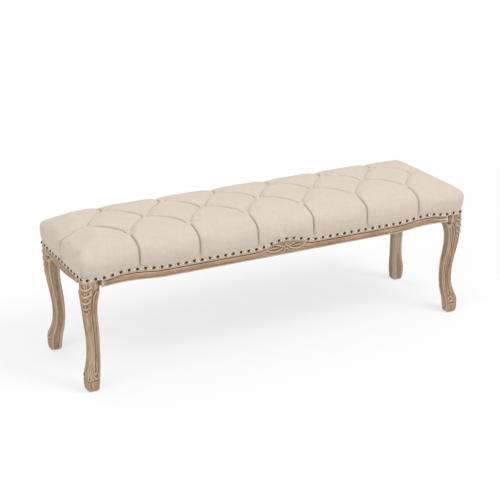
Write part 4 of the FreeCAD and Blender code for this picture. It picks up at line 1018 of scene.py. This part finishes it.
def makeDustCover():
    hx, hy, cut = dust["halfLength"], dust["halfWidth"], dust["cutOff"]
    bm = bmesh.new()
    plan = [(hx - cut, -hy), (hx, cut - hy), (hx, hy - cut), (hx - cut, hy)]
    plan += [(-x, -y) for x, y in plan]
    bm.faces.new([bm.verts.new((x, y, dust["level"])) for x, y in plan])
    for reach, normal in ((hx, Vector((1, 0, 0))), (hy, Vector((0, 1, 0)))):
        for at in np.arange(-reach + dust["cell"], reach - 1 * mm, dust["cell"]):
            whole = bm.verts[:] + bm.edges[:] + bm.faces[:]
            bmesh.ops.bisect_plane(bm, geom=whole, dist=1e-6, plane_co=normal * at, plane_no=normal)
    for vert in bm.verts:
        vert.co.z += dust["ripple"] * noise.noise(vert.co * 9)
    bmesh.ops.recalc_face_normals(bm, faces=bm.faces)
    piece = toObject(bm, "dustCover", cambric)
    wall = piece.modifiers.new("Solidify", "SOLIDIFY")
    wall.thickness, wall.offset = dust["thickness"], -1
    settle(piece, "dust_cover")


cutFoam = mottled("cutFoam", "#d9c58e", "#eadcae", 700.0, {"Roughness": 0.95, "IOR": 1.5}, 0.8 * mm)
cambric = mottled("blackCambric", "#141416", "#29292c", 900.0, {"Roughness": 0.85, "IOR": 1.5}, 0.3 * mm)
makeFoam()
makeDustCover()

# Finishes of the pieces whose shape is right as it is
twine = mottled("waxedFlaxTwine", "#8f7b5c", "#b7a27d", 1400.0, {"Roughness": 0.6, "IOR": 1.5}, 0.3 * mm)
nylon = mottled("mouldedNylon", "#d8d5cb", "#e6e3da", 900.0, {"Roughness": 0.42, "IOR": 1.53}, 0.1 * mm)
finishes = [
    (plainPine("planedPineX", "x"), blocks),
    (plainPine("planedPineY", "y"), braces),
    (birchPlywood("birchPlywood"), ["seat_deck"]),
    (zincPlatedSteel("zincPlatedSteel"), ["leg_bolts", "leg_bolt_washers", "leg_bolt_nuts", "block_screws",
                                          "deck_screws", "twine_washers"]),
    (twine, ["tuft_twines"]),
    (nylon, ["foot_glides"]),
]
for material, nodes in finishes:
    for node in nodes:
        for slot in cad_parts[node].material_slots:
            slot.material = material
print("finished", sum(len(nodes) for _, nodes in finishes), "nodes that keep their shape")

# Camera at the photograph's place
view = {"place": (-1.885, -3.589, 1.838), "tilt": 69.01, "turn": -27.32, "lens": 95.4}
camera = bpy.data.objects.new("camera", bpy.data.cameras.new("camera"))
scene.collection.objects.link(camera)
camera.location = view["place"]
camera.rotation_euler = (math.radians(view["tilt"]), 0, math.radians(view["turn"]))
camera.data.lens, camera.data.sensor_width = view["lens"], 36
camera.data.clip_end = 50
scene.camera = camera

# Studio: a white surround, a large soft lamp above the front right, and two weaker ones, left and behind
studio = {
    "ambient": 0.5, "aim": (0, 0, 0.3),
    # place, size, watts
    "lamps": [((1.5, -2.2, 3.3), 2.0, 70.0), ((-2.8, -1.2, 2.4), 2.0, 30.0), ((-0.4, 2.6, 2.8), 2.0, 20.0)],
}
world = bpy.data.worlds.new("studio")
scene.world = world
world.use_nodes = True
tree = world.node_tree
tree.nodes.clear()
rays = add(tree, "LightPath").outputs
seen = add(tree, "Math", {"operation": "MAXIMUM"}, n0=rays["Is Camera Ray"], n1=rays["Is Glossy Ray"])
seen = add(tree, "Math", {"operation": "MAXIMUM"}, n0=seen, n1=rays["Is Transmission Ray"])
soft = add(tree, "Background", {"Strength": studio["ambient"]}, Color="#ffffff")
white = add(tree, "Background", {"Strength": 1.0}, Color="#ffffff")
add(tree, "OutputWorld", Surface=add(tree, "MixShader", n0=seen, n1=soft, n2=white))
for n, (place, size, watts) in enumerate(studio["lamps"]):
    lamp = bpy.data.lights.new(f"lamp{n}", "AREA")
    lamp.energy, lamp.size = watts, size
    holder = bpy.data.objects.new(f"lamp{n}", lamp)
    scene.collection.objects.link(holder)
    holder.location = place
    towards = Vector(studio["aim"]) - Vector(place)
    holder.rotation_euler = towards.to_track_quat("-Z", "Y").to_euler()

# Floor: pale paper that goes over to pure white away from the bench and keeps its soft shadow
floor = {"half": 9.0, "own": 0.62, "near": 1.0, "far": 2.3}
bm = bmesh.new()
bmesh.ops.create_grid(bm, x_segments=1, y_segments=1, size=floor["half"])
paper, tree, place = newMaterial("palePaper")
spot = add(tree, "VectorMath", {"operation": "LENGTH"}, n0=place).outputs["Value"]
away = add(tree, "MapRange", {"From Min": floor["near"], "From Max": floor["far"]}, Value=spot)
rays = add(tree, "LightPath").outputs
toEye = add(tree, "Math", {"operation": "MAXIMUM"}, n0=rays["Is Camera Ray"], n1=rays["Is Glossy Ray"])
fibre = add(tree, "TexNoise", {"Scale": 300.0, "Detail": 3.0}, Vector=place)
tone = add(tree, "ValToRGB", {"stops": [(0.3, "#e9e9e9"), (0.7, "#efefef")]}, Fac=fibre)
matt = add(tree, "BsdfDiffuse", {"Roughness": 0.6}, Color=tone)
lit = add(tree, "BsdfDiffuse", {"Color": [0.42, 0.42, 0.43, 1]})
glow = add(tree, "Emission", {"Strength": floor["own"]}, Color="#ffffff")
blank = add(tree, "Emission", {"Strength": 1.0}, Color="#ffffff")
shown = add(tree, "MixShader", n0=away, n1=add(tree, "AddShader", n0=lit, n1=glow), n2=blank)
whole = add(tree, "MixShader", n0=toEye, n1=matt, n2=shown)
add(tree, "OutputMaterial", Surface=whole)
toObject(bm, "floor", paper, smooth=False)

scene.view_settings.view_transform = "Standard"
